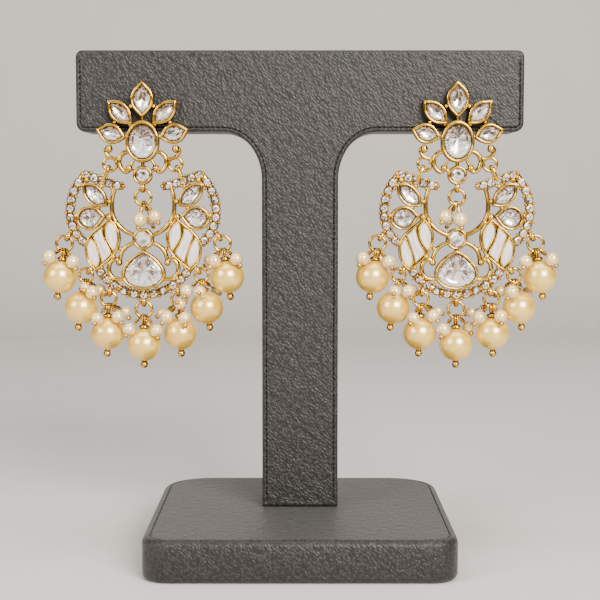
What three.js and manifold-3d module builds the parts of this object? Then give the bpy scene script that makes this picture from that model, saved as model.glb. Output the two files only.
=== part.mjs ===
// A pair of chandbali earrings hung on their grey leatherette display stand.
// Millimetres, +Z up, the fronts face -Y, origin at the centre of the base's underside.
import * as THREE from "three";
import { ConvexGeometry } from "three/addons/geometries/ConvexGeometry.js";
import { mergeVertices } from "three/addons/utils/BufferGeometryUtils.js";
import Module from "manifold-3d";

const wasm = await Module();
wasm.setup();

// ---- driving dimensions ----
const standHeight = 120, barWidth = 106.8, barHeight = 19.3, standDepth = 16;
const columnWidth = 18.3, filletWidth = 9.2, filletHeight = 11.4;
const barSetback = 6; // the bar and column stand behind the middle of the base
const baseWidth = 70.8, baseDepth = 70.6, baseHeight = 9.8;
const earringX = 37.4, earringY = barSetback - 9.4, earringZ = 98.3;
const gap = 0.3;
const pearlRadius = 4, pearlBore = 0.65, pinRadius = 0.35;
const sideRing = { u: 7.76, w: -5.33, radius: 1.58, wire: 0.4, bailAngle: 25 };
const pivotDrop = sideRing.w - sideRing.radius * Math.cos(THREE.MathUtils.degToRad(sideRing.bailAngle));

// ---- materials ----
const leatherette = new THREE.MeshStandardMaterial({ name: "leatherette", color: "#66625f", roughness: 0.6, metalness: 0 });
const antiqueGold = new THREE.MeshStandardMaterial({ name: "antique_gold", color: "#c8953f", roughness: 0.28, metalness: 1 });
const crystal = new THREE.MeshStandardMaterial({ name: "crystal", color: "#eeeae8", roughness: 0.05, metalness: 0 });
const enamel = new THREE.MeshStandardMaterial({ name: "enamel", color: "#e6e2de", roughness: 0.3, metalness: 0 });
const creamPearl = new THREE.MeshStandardMaterial({ name: "cream_pearl", color: "#f0d9a0", roughness: 0.2, metalness: 0 });

// ---- solids ----
const toSolid = (geometry) => {
  const bare = geometry.clone();
  bare.deleteAttribute("normal");
  bare.deleteAttribute("uv");
  const merged = mergeVertices(bare, 1e-4);
  return new wasm.Manifold(new wasm.Mesh({
    numProp: 3,
    vertProperties: new Float32Array(merged.attributes.position.array),
    triVerts: new Uint32Array(merged.index.array),
  }));
};
const toGeometry = (solid) => {
  const mesh = solid.getMesh();
  const geometry = new THREE.BufferGeometry();
  geometry.setAttribute("position", new THREE.BufferAttribute(new Float32Array(mesh.vertProperties), 3));
  geometry.setIndex(new THREE.BufferAttribute(new Uint32Array(mesh.triVerts), 1));
  const flat = geometry.toNonIndexed();
  flat.computeVertexNormals();
  return flat;
};
const join = (solids) => solids.reduce((all, next) => all.add(next));
const named = (name, geometry, material) => {
  const mesh = new THREE.Mesh(geometry, material);
  mesh.name = name;
  return mesh;
};

// ---- outlines in the (u, w) plane of an earring ----
const turn = (points, degrees, u = 0, w = 0) => {
  const c = Math.cos(THREE.MathUtils.degToRad(degrees)), s = Math.sin(THREE.MathUtils.degToRad(degrees));
  return points.map((p) => new THREE.Vector2(u + p.x * c - p.y * s, w + p.x * s + p.y * c));
};
const flip = (points) => points.map((p) => new THREE.Vector2(-p.x, p.y)).reverse();
// A pointed leaf along the first axis: its half width falls from the middle to each tip.
const leaf = (length, width, power, steps = 5) => {
  const points = [];
  for (let i = 0; i < steps; i++) {
    const t = 1 - (2 * i) / steps;
    points.push(new THREE.Vector2((t * length) / 2, (width / 2) * (1 - Math.abs(t) ** power)));
  }
  return [...points, ...points.map((p) => new THREE.Vector2(-p.x, -p.y))];
};
const oval = (halfU, halfW, steps = 12) => {
  const points = [];
  for (let i = 0; i < steps; i++) {
    const a = (2 * Math.PI * i) / steps;
    points.push(new THREE.Vector2(halfU * Math.cos(a), halfW * Math.sin(a)));
  }
  return points;
};
const outline = (pairs) => {
  const points = pairs.map(([u, w]) => new THREE.Vector2(u, w));
  return THREE.ShapeUtils.area(points) < 0 ? points.reverse() : points;
};
// Moves each edge of a counter-clockwise outline inwards by d.
const inset = (points, d) => points.map((p, i) => {
  const before = points[(i + points.length - 1) % points.length], after = points[(i + 1) % points.length];
  const a = new THREE.Vector2(-(p.y - before.y), p.x - before.x).normalize();
  const b = new THREE.Vector2(-(after.y - p.y), after.x - p.x).normalize();
  const sum = a.clone().add(b).multiplyScalar(d / Math.max(0.35, 1 + a.dot(b)));
  return new THREE.Vector2(p.x + sum.x, p.y + sum.y);
});

// ---- shapes standing in the earring's frame: u is X, w is Z, the front is -Y ----
const plate = (points, back, front, options = {}) => {
  const geometry = new THREE.ExtrudeGeometry(new THREE.Shape(points), {
    depth: back - front, bevelEnabled: false, ...options,
  });
  geometry.rotateX(Math.PI / 2);
  geometry.translate(0, back, 0);
  return geometry;
};
const slab = (points, back, front) => toSolid(plate(points, back, front));
const bezel = (points, wall, back, front, floor) =>
  slab(points, back, front).subtract(slab(inset(points, wall), back - floor, front - 1));
// A cut stone: a narrower back, a girdle and a small table in front.
const stone = (points, back, front, table = 0.62) => {
  const mid = points.reduce((sum, p) => sum.add(p), new THREE.Vector2()).divideScalar(points.length);
  const level = (scale, y) => points.map((p) => new THREE.Vector3(mid.x + (p.x - mid.x) * scale, y, mid.y + (p.y - mid.y) * scale));
  return new ConvexGeometry([...level(0.85, back), ...level(1, front + 0.65), ...level(table, front)]);
};
const section = (radius, sides) => {
  const shape = new THREE.Shape();
  for (let i = 0; i < sides; i++) {
    const a = (2 * Math.PI * (i + 0.5)) / sides;
    if (i) shape.lineTo(radius * Math.cos(a), radius * Math.sin(a));
    else shape.moveTo(radius * Math.cos(a), radius * Math.sin(a));
  }
  shape.closePath();
  return shape;
};
const wire = (points, radius, steps = points.length * 2, sides = 4, curved = true) => {
  const list = points.map((p) => new THREE.Vector3(p[0], p[2] ?? 0, p[1]));
  const path = curved && list.length > 2 ? new THREE.CatmullRomCurve3(list, false, "centripetal") : new THREE.LineCurve3(list[0], list[list.length - 1]);
  return toSolid(new THREE.ExtrudeGeometry(section(radius, sides), {
    steps: list.length > 2 ? steps : 1, bevelEnabled: false, extrudePath: path,
  }));
};
const ball = (u, w, radius, y = 0, around = 5, down = 4) =>
  toSolid(new THREE.SphereGeometry(radius, around, down).rotateX(Math.PI / 2).translate(u, y, w));
const bead = (u, w, radius, y = 0) => toSolid(new THREE.OctahedronGeometry(radius).translate(u, y, w));
const ring = (u, w, radius, thickness, around = 14, sides = 4, y = 0) =>
  toSolid(new THREE.TorusGeometry(radius, thickness, sides, around).rotateX(Math.PI / 2).translate(u, y, w));
// A short tube whose bore runs along the tangent of a ring at the given angle.
const eyelet = (u, w, degrees, outer = 1.3, inner = 0.84, width = 1.3) => {
  const profile = [[inner, -width / 2], [outer, -width / 2], [outer, width / 2], [inner, width / 2], [inner, -width / 2]]
    .map(([r, h]) => new THREE.Vector2(r, h));
  const geometry = new THREE.LatheGeometry(profile, 6);
  geometry.rotateZ(Math.PI / 2);
  geometry.rotateY(-THREE.MathUtils.degToRad(degrees));
  return toSolid(geometry.translate(u, 0, w));
};

// ---- the stand ----
const filletSteps = 6;
const standOutline = () => {
  const half = [];
  const bottom = baseHeight + gap, barBottom = standHeight - barHeight;
  half.push([columnWidth / 2, bottom]);
  for (let i = 0; i <= filletSteps; i++) {
    const a = (Math.PI / 2) * (i / filletSteps);
    half.push([columnWidth / 2 + filletWidth * (1 - Math.cos(a)), barBottom - filletHeight + filletHeight * Math.sin(a)]);
  }
  const corner = (u, w, radius, from) => {
    for (let i = 0; i <= 3; i++) {
      const a = THREE.MathUtils.degToRad(from + 30 * i);
      half.push([u + radius * Math.cos(a), w + radius * Math.sin(a)]);
    }
  };
  corner(barWidth / 2 - 2.1, barBottom + 2.1, 2.1, -90);
  corner(barWidth / 2 - 1.6, standHeight - 1.6, 1.6, 0);
  return outline([...half, ...half.map(([u, w]) => [-u, w]).reverse()]);
};
const softEdge = { bevelEnabled: true, bevelThickness: 0.9, bevelSize: 0.9, bevelOffset: -0.9, bevelSegments: 1 };
const standBody = plate(standOutline(), barSetback + standDepth / 2 - 0.9, barSetback - standDepth / 2 + 0.9, softEdge);
const postHoles = [-1, 1].map((side) =>
  toSolid(new THREE.CylinderGeometry(0.85, 0.85, 6, 10).translate(side * earringX, barSetback - standDepth / 2 + 2, earringZ + 8.6)));
const stand = new THREE.Group();
stand.add(named("t_bar_and_column", toGeometry(postHoles.reduce((body, hole) => body.subtract(hole), toSolid(standBody))), leatherette));

const baseShape = new THREE.Shape();
{
  const x = baseWidth / 2, y = baseDepth / 2, r = 6, backR = 12;
  baseShape.moveTo(-x + r, -y);
  baseShape.lineTo(x - r, -y);
  baseShape.absarc(x - r, -y + r, r, -Math.PI / 2, 0);
  baseShape.lineTo(x, y - backR);
  baseShape.absarc(x - backR, y - backR, backR, 0, Math.PI / 2);
  baseShape.lineTo(-x + backR, y);
  baseShape.absarc(-x + backR, y - backR, backR, Math.PI / 2, Math.PI);
  baseShape.lineTo(-x, -y + r);
  baseShape.absarc(-x + r, -y + r, r, Math.PI, 1.5 * Math.PI);
}
const baseGeometry = new THREE.ExtrudeGeometry(baseShape, { ...softEdge, bevelThickness: 1.2, bevelSize: 1.2, bevelOffset: -1.2, depth: baseHeight - 2.4, curveSegments: 4 });
baseGeometry.translate(0, 0, 1.2);
stand.add(named("base", toGeometry(toSolid(baseGeometry)), leatherette));

// ---- the stud: five petals round an oval, on a post ----
const studBack = 1.1, studFront = -1.1, wall = 0.62, floor = 0.6, fit = 0.22;
const ovalOutline = oval(3.95, 5.0, 12);
const petals = [
  { name: "top", points: turn(leaf(8.7, 5.5, 1.75), 90, 0, 10.0) },
  { name: "upper_left", points: turn(leaf(8.1, 4.6, 1.9), 136, -5.3, 6.9) },
  { name: "upper_right", points: turn(leaf(8.1, 4.6, 1.9), 44, 5.3, 6.9) },
  { name: "lower_left", points: turn(leaf(7.35, 4.8, 1.9), 164.5, -7.45, 1.88) },
  { name: "lower_right", points: turn(leaf(7.35, 4.8, 1.9), 15.5, 7.45, 1.88) },
];
const studFrame = () => {
  const solids = [bezel(ovalOutline, wall, studBack, -1.5, floor)];
  for (const petal of petals) solids.push(bezel(petal.points, wall, studBack, studFront, floor));
  // joints between the petals
  solids.push(wire([[0, 4.6, 0.2], [0, 6.1, 0.2]], 0.45, 1, 6));
  for (const s of [-1, 1]) {
    solids.push(bead(s * 2.75, 8.3, 0.75), bead(s * 2.9, 4.1, 0.8), bead(s * 6.6, 4.55, 0.75), bead(s * 3.95, 1.15, 0.7));
    // inner and outer scrolls
    solids.push(wire([[s * 3.3, -2.0], [s * 4.6, -2.7], [s * 5.5, -3.9], [s * 5.45, -5.4], [s * 4.8, -6.8], [s * 3.9, -7.15], [s * 3.2, -6.5]], 0.55, 8));
    solids.push(ball(s * 3.18, -6.35, 0.75), bead(s * 2.35, -6.8, 0.6));
    solids.push(ball(s * 7.95, -1.7, 0.85), wire([[s * 7.6, -0.3], [s * 7.9, -1.4]], 0.45, 1, 4));
    solids.push(wire([[s * 8.2, -1.7], [s * 8.55, -2.6], [s * 7.9, -3.55], [s * 6.8, -4.0], [s * 5.3, -3.9]], 0.45, 5));
    solids.push(ring(s * sideRing.u, sideRing.w, sideRing.radius, sideRing.wire, 12, 4));
  }
  // small round setting, its stone, and the eyelet below it
  solids.push(bezel(turn(oval(2.27, 2.27, 10), 0, 0, -7.95), 0.5, 0.8, -1.1, 0.6));
  solids.push(toSolid(stone(turn(oval(1.6, 1.6, 6), 0, 0, -7.95), 0.5, -0.95)));
  solids.push(wire([[0, -4.6, 0.2], [0, -6.2, 0.2]], 0.5, 1, 6));
  solids.push(eyelet(0, -10.85, 0));
  // the post that goes into the bar
  solids.push(toSolid(new THREE.CylinderGeometry(0.45, 0.45, 4.8, 8).translate(0, 3.0, 8.6)));
  solids.push(toSolid(new THREE.CylinderGeometry(1.3, 1.3, 0.6, 8).translate(0, 0.8, 8.6)));
  return join(solids);
};
const studStones = () => [
  ["oval", stone(inset(ovalOutline, wall + fit), studBack - floor - gap, -1.9)],
  ...petals.map((petal) => [petal.name + "_petal", stone(inset(petal.points, wall + fit), studBack - floor - gap, -1.35)]),
];

// ---- the crescent ----
const crescentBack = 0.95, crescentFront = -1.15;
const bandHalf = 0.92;
const barStones = [[13.4, -7.95], [11.6, -8.6], [9.8, -9.25], [8.05, -9.85], [6.25, -10.4]];
const sideStones = [[15.3, -9.75], [16.4, -11.7], [17.1, -13.8], [17.4, -15.9], [17.35, -18.0], [16.85, -20.0], [15.9, -21.9], [14.55, -23.55]];
const bottomStones = [[10.2, -31.2], [8.8, -32.85], [7.0, -34.2], [4.65, -35.5], [2.35, -36.25], [0, -36.5]];
const pearOutline = outline([[8.9, -17.75], [10.0, -16.45], [11.3, -15.55], [12.85, -15.25], [14.35, -15.7], [15.55, -16.8], [16.0, -18.2], [15.6, -19.55], [14.4, -20.6], [12.95, -21.0], [11.4, -20.55], [10.1, -19.45]]);
const marquiseOutline = outline([[14.35, -9.85], [12.5, -9.75], [10.9, -10.35], [9.45, -11.65], [8.6, -13.3], [8.4, -15.35], [10.5, -15.5], [12.2, -14.95], [13.45, -13.75], [14.2, -12.1]]);
const teardropOutline = outline([[0, -25.8], [2.3, -27.1], [4.05, -28.75], [5.1, -30.45], [5.2, -32.0], [4.6, -33.35], [3.1, -34.55], [0, -35.2], [-3.1, -34.55], [-4.6, -33.35], [-5.2, -32.0], [-5.1, -30.45], [-4.05, -28.75], [-2.3, -27.1]]);
const wingOutline = outline([[8.0, -18.3], [6.4, -20.3], [5.7, -22.3], [6.05, -24.9], [6.75, -26.4], [9.75, -29.25], [11.35, -30.4], [12.85, -28.9], [13.65, -26.3], [13.45, -24.0], [12.3, -22.0], [10.1, -20.1]]);
// The wing's three cells, each the floor of a raised enamel petal.
const wingCells = [
  outline([[8.05, -19.1], [6.85, -20.6], [6.3, -22.3], [6.55, -24.6], [7.0, -25.7], [8.2, -23.7], [8.85, -21.9], [8.75, -20.4]]),
  outline([[9.85, -20.65], [9.5, -23.0], [7.75, -26.5], [9.75, -28.45], [10.6, -25.4], [11.75, -22.25]]),
  outline([[12.4, -23.1], [11.2, -25.8], [10.65, -28.3], [11.25, -29.7], [12.6, -28.2], [13.2, -26.2], [13.15, -24.6]]),
];
const band = (points, ends, back, front) => {
  // A strip of constant width along a line of stone centres, carried past both ends.
  const list = [...(ends[0] ? [ends[0]] : []), ...points, ...(ends[1] ? [ends[1]] : [])].map(([u, w]) => new THREE.Vector2(u, w));
  const left = [], right = [];
  list.forEach((p, i) => {
    const a = list[Math.max(0, i - 1)], b = list[Math.min(list.length - 1, i + 1)];
    const n = new THREE.Vector2(-(b.y - a.y), b.x - a.x).normalize().multiplyScalar(bandHalf);
    left.push([p.x + n.x, p.y + n.y]);
    right.push([p.x - n.x, p.y - n.y]);
  });
  return slab(outline([...left, ...right.reverse()]), back, front);
};
const pave = (u, w) => toSolid(new THREE.CylinderGeometry(0.95, 0.6, 0.6, 4, 1, false, Math.PI / 4).translate(u, -0.8, w));
const drops = [
  { u: 18.87, w: -24.2, radius: 1.9, toward: 119, stub: [16.1, -22.1], pearl: [1.15, -7.96] },
  { u: 13.85, w: -31.8, radius: 1.62, toward: 129, stub: [11.25, -30.3], pearl: [1.2, -7.78] },
  { u: 8.45, w: -37.45, radius: 1.8, toward: 101, pearl: [0.3, -8.32] },
  { u: 0, w: -40.05, radius: 1.95, toward: 90, pearl: [0, -8.4] },
];
const eyeletPlace = (drop, s) => {
  const a = THREE.MathUtils.degToRad(drop.toward);
  return [s * (drop.u + drop.radius * Math.cos(a)), drop.w + drop.radius * Math.sin(a), s > 0 ? drop.toward - 90 : 90 - drop.toward];
};
const bail = (s) => {
  // A loop in the plane of the ring's radius, round the ring's wire and down into the bar.
  const a = THREE.MathUtils.degToRad(sideRing.bailAngle), r = 1.1;
  const top = [sideRing.u + sideRing.radius * Math.sin(a), sideRing.w - sideRing.radius * Math.cos(a)];
  const at = (t, y) => new THREE.Vector3(s * (top[0] + Math.sin(a) * t), y, top[1] - Math.cos(a) * t);
  const points = [at(3.0, -0.5), at(2.3, -0.95), at(1.2, -r)];
  for (let i = 0; i <= 6; i++) points.push(at(-r * Math.sin((Math.PI * i) / 6), -r * Math.cos((Math.PI * i) / 6)));
  points.push(at(1.2, r), at(2.3, 0.95), at(3.0, 0.5));
  return toSolid(new THREE.ExtrudeGeometry(section(0.3, 4), {
    steps: 11, bevelEnabled: false, extrudePath: new THREE.CatmullRomCurve3(points, false, "centripetal"),
  }));
};
const crescentFrame = () => {
  const solids = [];
  solids.push(band([...bottomStones, ...bottomStones.slice(0, -1).reverse().map(([u, w]) => [-u, w])], [[10.85, -30.3], [-10.85, -30.3]], 0.6, -0.55));
  for (const [u, w] of bottomStones) for (const s of u ? [-1, 1] : [1]) solids.push(pave(s * u, w));
  solids.push(bezel(teardropOutline, wall, crescentBack, crescentFront - 0.2, floor));
  solids.push(bezel(turn(oval(2.55, 2.55, 10), 0, 0, -23.1), 0.5, 0.8, crescentFront, 0.6));
  solids.push(toSolid(stone(turn(oval(1.85, 1.85, 6), 0, 0, -23.1), 0.5, -1.0)));
  solids.push(wire([[0, -25.3, 0.2], [0, -26.8, 0.2]], 0.5, 1, 6), wire([[0, -35.0, 0.1], [0, -36.2, 0.1]], 0.7, 1, 6));
  for (const s of [-1, 1]) {
    const side = (points) => (s > 0 ? points : flip(points));
    const mirror = (pairs) => pairs.map(([u, w]) => [s * u, w]);
    solids.push(band(mirror([[4.6, -10.6], ...barStones.slice().reverse()]), [null, [s * 14.35, -7.6]], 0.6, -0.55));
    solids.push(band(mirror(sideStones), [[s * 14.0, -8.0], [s * 13.6, -24.5]], 0.6, -0.55));
    for (const [u, w] of [...barStones, ...sideStones]) solids.push(pave(s * u, w));
    solids.push(bezel(side(marquiseOutline), wall, crescentBack, crescentFront, floor));
    solids.push(bezel(side(pearOutline), wall, crescentBack, crescentFront, floor));
    // the wing: an outer wall open at the back, and two bars between the petals
    let wing = slab(side(wingOutline), crescentBack, crescentFront);
    wing = wing.subtract(slab(inset(side(wingOutline), 0.45), crescentBack + 1, -0.1));
    for (const cell of wingCells) wing = wing.subtract(slab(side(cell), 0.5, crescentFront - 1));
    solids.push(wing);
    // inner arc, arch and C loop
    solids.push(wire(mirror([[6.7, -11.0], [7.3, -13.2], [7.45, -15.6], [7.15, -17.6], [6.4, -19.1], [5.4, -20.3], [4.0, -21.4], [2.2, -22.2]]), 0.55, 7));
    solids.push(wire(mirror([[1.9, -23.9], [3.3, -24.5], [4.6, -25.5], [5.35, -26.8], [5.7, -28.6]]), 0.52, 5));
    solids.push(wire(mirror([[5.8, -28.6], [6.6, -27.95], [7.6, -28.4], [8.25, -29.7], [8.2, -31.0], [7.3, -32.3], [5.9, -32.7], [4.6, -32.65]]), 0.55, 8));
    solids.push(ball(s * 5.75, -28.75, 0.78));
    // solder beads between the settings
    const beads = [[7.95, -15.0, 0.7], [16.15, -17.9, 0.7], [8.05, -17.9, 0.95], [6.55, -19.4, 0.7], [7.25, -27.35, 0.8], [13.3, -9.0, 0.8]];
    for (const [u, w, r] of beads) solids.push(bead(s * u, w, r));
    solids.push(bail(s));
  }
  for (const drop of drops) {
    for (const s of drop.u ? [-1, 1] : [1]) {
      const [u, w, angle] = eyeletPlace(drop, s);
      solids.push(eyelet(u, w, angle));
      if (!drop.stub) continue;
      const dir = new THREE.Vector2(u - s * drop.stub[0], w - drop.stub[1]), length = dir.length() - 0.95;
      dir.normalize();
      solids.push(wire([[s * drop.stub[0], drop.stub[1]], [s * drop.stub[0] + dir.x * length, drop.stub[1] + dir.y * length]], 0.65, 1, 4));
    }
  }
  return join(solids);
};
const crescentStones = () => {
  const both = (name, points, front) => [-1, 1].map((s) =>
    [(s < 0 ? "left_" : "right_") + name, stone(inset(s > 0 ? points : flip(points), wall + fit), crescentBack - floor - gap, front)]);
  return [
    ...both("marquise", marquiseOutline, -1.4),
    ...both("pear", pearOutline, -1.4),
    ["teardrop", stone(inset(teardropOutline, wall + fit), crescentBack - floor - gap, -1.8)],
  ];
};
const enamelWing = (s) => {
  const side = (points) => (s > 0 ? points : flip(points));
  const parts = [slab(inset(side(wingOutline), 0.45 + gap), 0.75, 0.2)];
  for (const cell of wingCells) parts.push(slab(inset(side(cell), 0.25), 0.6, -0.95));
  return join(parts);
};

// ---- hangers: a jump ring, a head pin through the big pearl, and small pearls ----
// Small pearls are [across, down, forward, radius] from the centre of the jump ring.
const clusters = {
  left: [
    [[-3.35, -3.0, 1.2, 1.55], [2.35, -4.2, 2.3, 1.5], [0.5, -4.0, -3.2, 1.2]],
    [[1.9, -3.85, 2.9, 1.55], [0.1, -2.7, 2.3, 1.05], [3.0, -3.7, -2.2, 1.5]],
    [[-2.3, -4.4, 2.7, 1.4], [2.55, -4.1, 2.3, 1.45], [3.9, -3.2, -1.6, 1.3]],
    [[-3.3, -4.45, 1.6, 1.45], [3.2, -4.7, 1.8, 1.45], [0.3, -4.2, -3.2, 1.3]],
    [[-2.8, -4.1, 2.2, 1.45], [1.6, -4.3, 3.1, 1.45], [0.35, -1.0, 2.1, 1.3], [-4.2, -3.6, -1.6, 1.3]],
    [[-3.5, -3.6, 2.4, 1.45], [-0.15, -3.75, 3.5, 1.4], [3.2, -3.9, -2.8, 1.2]],
    [[-1.8, -4.0, 3.0, 1.5], [3.4, -3.5, 1.2, 1.45], [-3.2, -4.2, -1.7, 1.4]],
  ],
  right: [
    [[-3.65, -3.4, 1.0, 1.55], [2.5, -4.25, 2.2, 1.5], [0.6, -3.9, -3.3, 1.2]],
    [[-1.1, -3.6, 3.3, 1.35], [2.2, -3.65, 2.8, 1.5], [3.5, -3.7, -1.8, 1.3]],
    [[-2.05, -4.35, 2.8, 1.4], [2.75, -3.9, 2.0, 1.45], [4.2, -3.1, -1.6, 1.2]],
    [[-3.3, -4.5, 1.6, 1.5], [3.25, -4.4, -1.6, 1.4]],
    [[-3.15, -4.25, 1.8, 1.45], [1.8, -3.9, 3.0, 1.5], [-4.4, -3.5, -3.4, 1.25]],
    [[-1.0, -3.7, 3.4, 1.55], [-3.0, -4.0, -2.2, 1.4], [3.7, -4.4, -2.6, 1.3]],
    [[-2.7, -4.15, 2.2, 1.5], [3.5, -3.55, 1.1, 1.5], [-0.6, -3.9, -3.3, 1.2]],
  ],
  centre: [
    [[-0.75, -5.65, 1.0, 1.65], [2.9, -4.87, 0.6, 1.5], [1.6, -6.05, -2.3, 1.2]],
    [[0.75, -5.65, 1.0, 1.65], [-2.9, -4.87, 0.6, 1.5], [-1.6, -6.05, -2.3, 1.2]],
  ],
};
const along = (geometry, from, direction) => {
  // Stands a shape made along -Y from the origin at a point, running in a direction.
  geometry.applyQuaternion(new THREE.Quaternion().setFromUnitVectors(new THREE.Vector3(0, -1, 0), direction.clone().normalize()));
  return geometry.translate(from.x, from.y, from.z);
};
const smallPearls = (u, w, radius, cluster, big) => {
  const solids = [];
  for (const [across, down, forward, r] of cluster) {
    const centre = new THREE.Vector3(u + across, -forward, w + down);
    if (big) {
      // a pearl that would sink into the big one is moved forward or back until it clears it
      const need = (pearlRadius + r + gap) ** 2 - (centre.x - big.x) ** 2 - (centre.z - big.z) ** 2;
      if (need > centre.y ** 2) centre.y = Math.sign(centre.y) * Math.sqrt(need);
    }
    // pin, pearl and end ball in one turned piece, from the ring's wire outwards
    const lean = Math.atan2(across, -down - radius * 0.4) * 0.62;
    const start = new THREE.Vector3(u + radius * Math.sin(lean), 0, w - radius * Math.cos(lean));
    const reach = centre.clone().sub(start), l = reach.length();
    const profile = [[0, 0], [0.32, 0], [0.36, 0.95 * r - l], [r, 0.42 * r - l], [r, -0.42 * r - l], [0.5, -r - l], [0.55, -r - l - 0.5], [0, -r - l - 0.85]];
    solids.push(toSolid(along(new THREE.LatheGeometry(profile.reverse().map(([x, y]) => new THREE.Vector2(x, y)), 5), start, reach)));
  }
  return solids;
};
const endBall = 4.8;
const hanger = (drop, s, cluster) => {
  const u = s * drop.u, w = drop.w;
  const to = new THREE.Vector3(s * drop.pearl[0], 0, drop.pearl[1]);
  const reach = to.length(), direction = to.clone().normalize();
  const solids = [ring(u, w, drop.radius, 0.34, 11, 4)];
  const profile = [[0, -reach - endBall - 0.88], [0.75, -reach - endBall - 0.44], [0.75, -reach - endBall + 0.44], [pinRadius, -reach - endBall + 0.76],
    [pinRadius, -reach + 4.25], [1.25, -reach + 4.3], [1.0, -reach + 4.7], [0.45, -reach + 4.8], [0.45, -drop.radius], [0, -drop.radius + 0.1]]
    .map(([r, h]) => new THREE.Vector2(r, h));
  solids.push(toSolid(along(new THREE.LatheGeometry(profile, 5), new THREE.Vector3(u, 0, w), direction)));
  solids.push(...smallPearls(u, w, drop.radius, cluster, new THREE.Vector3(u + to.x, 0, w + to.z)));
  return join(solids);
};
const bigPearl = (drop, s) => {
  const to = new THREE.Vector3(s * drop.pearl[0], 0, drop.pearl[1]);
  const flat = Math.sqrt(pearlRadius ** 2 - pearlBore ** 2);
  const profile = [new THREE.Vector2(pearlBore, -flat)];
  for (let i = 1; i <= 4; i++) {
    const a = -Math.PI / 2 + (Math.PI * i) / 5;
    profile.push(new THREE.Vector2(pearlRadius * Math.cos(a), pearlRadius * Math.sin(a)));
  }
  profile.push(new THREE.Vector2(pearlBore, flat), new THREE.Vector2(pearlBore, -flat));
  return along(new THREE.LatheGeometry(profile, 12), new THREE.Vector3(s * drop.u + to.x, 0, drop.w + to.z), to);
};

// ---- the two earrings ----
const object = new THREE.Group();
object.add(stand);
for (const [name, x] of [["left", -earringX], ["right", earringX]]) {
  const earring = new THREE.Group();
  earring.position.set(x, earringY, earringZ);
  // the three little pearls hang on a ring that rests in the stud's lower eyelet
  const little = [ring(0, -13.25, 1.9, 0.38, 12, 4), ...smallPearls(0, -12.83, 1.9, clusters.centre[name === "left" ? 0 : 1])];
  earring.add(named(name + "_stud_frame", toGeometry(join([studFrame(), ...little])), antiqueGold));
  for (const [piece, geometry] of studStones()) earring.add(named(name + "_stud_" + piece, geometry, crystal));
  earring.add(named(name + "_crescent_frame", toGeometry(crescentFrame()), antiqueGold));
  for (const [piece, geometry] of crescentStones()) earring.add(named(name + "_crescent_" + piece, geometry, crystal));
  for (const s of [-1, 1]) earring.add(named(name + "_crescent_" + (s < 0 ? "left" : "right") + "_enamel", toGeometry(enamelWing(s)), enamel));
  const places = [[-1, 0], [-1, 1], [-1, 2], [1, 3], [1, 2], [1, 1], [1, 0]];
  places.forEach(([s, index], order) => {
    earring.add(named(name + "_hanger_" + (order + 1), toGeometry(hanger(drops[index], s, clusters[name][order])), antiqueGold));
    earring.add(named(name + "_pearl_" + (order + 1), bigPearl(drops[index], s), creamPearl));
  });
  object.add(earring);
}

export default object;
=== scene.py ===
import math
import random
from functools import partial
import bpy
import bmesh
from mathutils import Matrix, Vector


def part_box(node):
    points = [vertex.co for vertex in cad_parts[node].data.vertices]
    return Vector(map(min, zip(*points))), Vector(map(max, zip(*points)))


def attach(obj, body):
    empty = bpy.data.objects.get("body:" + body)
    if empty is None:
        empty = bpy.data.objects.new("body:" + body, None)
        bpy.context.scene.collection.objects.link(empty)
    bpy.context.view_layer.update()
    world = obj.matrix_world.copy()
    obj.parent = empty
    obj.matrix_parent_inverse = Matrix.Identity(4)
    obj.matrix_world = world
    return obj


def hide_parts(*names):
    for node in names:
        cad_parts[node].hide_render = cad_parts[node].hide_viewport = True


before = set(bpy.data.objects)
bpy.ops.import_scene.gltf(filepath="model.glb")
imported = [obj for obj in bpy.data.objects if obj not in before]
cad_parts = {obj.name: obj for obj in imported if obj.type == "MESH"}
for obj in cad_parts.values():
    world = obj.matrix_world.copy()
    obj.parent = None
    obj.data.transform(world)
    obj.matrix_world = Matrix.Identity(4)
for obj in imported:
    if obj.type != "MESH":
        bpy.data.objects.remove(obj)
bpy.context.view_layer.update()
scene = bpy.context.scene
mm = 0.001
print("frame loaded:", len(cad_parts), "nodes")


def toLinear(hexColour):
    parts = [int(hexColour[i:i + 2], 16) / 255 for i in (1, 3, 5)]
    return [p / 12.92 if p <= 0.04045 else ((p + 0.055) / 1.055) ** 2.4 for p in parts] + [1]


def feed(tree, node, sources):
    # each socket gets a value, a hex colour, a source, or a node that stands for its first output
    for socket, value in sources.items():
        if isinstance(value, bpy.types.Node):
            value = value.outputs[0]
        if isinstance(value, bpy.types.NodeSocket):
            tree.links.new(value, node.inputs[socket])
        else:
            node.inputs[socket].default_value = toLinear(value) if isinstance(value, str) else value


def addNode(tree, kind, sources=None, stops=None, size=None, **settings):
    # stops are those of a colour ramp, and size is that of a pattern in mm
    node = tree.nodes.new("ShaderNode" + kind)
    for name, value in settings.items():
        setattr(node, name, value)
    feed(tree, node, sources or {})
    if size:
        node.inputs["Scale"].default_value = 1 / (size * mm)
    if stops:
        ramp = node.color_ramp
        while len(ramp.elements) < len(stops):
            ramp.elements.new(0.5)
        for element, (place, colour) in zip(ramp.elements, stops):
            element.position, element.color = place, toLinear(colour)
    return node


def startTree(name):
    material = bpy.data.materials.new(name)
    material.use_nodes = True
    return material, partial(addNode, material.node_tree)


def finishTree(material, **sources):
    tree = material.node_tree
    sources = {socket.replace("_", " "): source for socket, source in sources.items()}
    feed(tree, tree.nodes["Principled BSDF"], sources)
    return material


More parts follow.
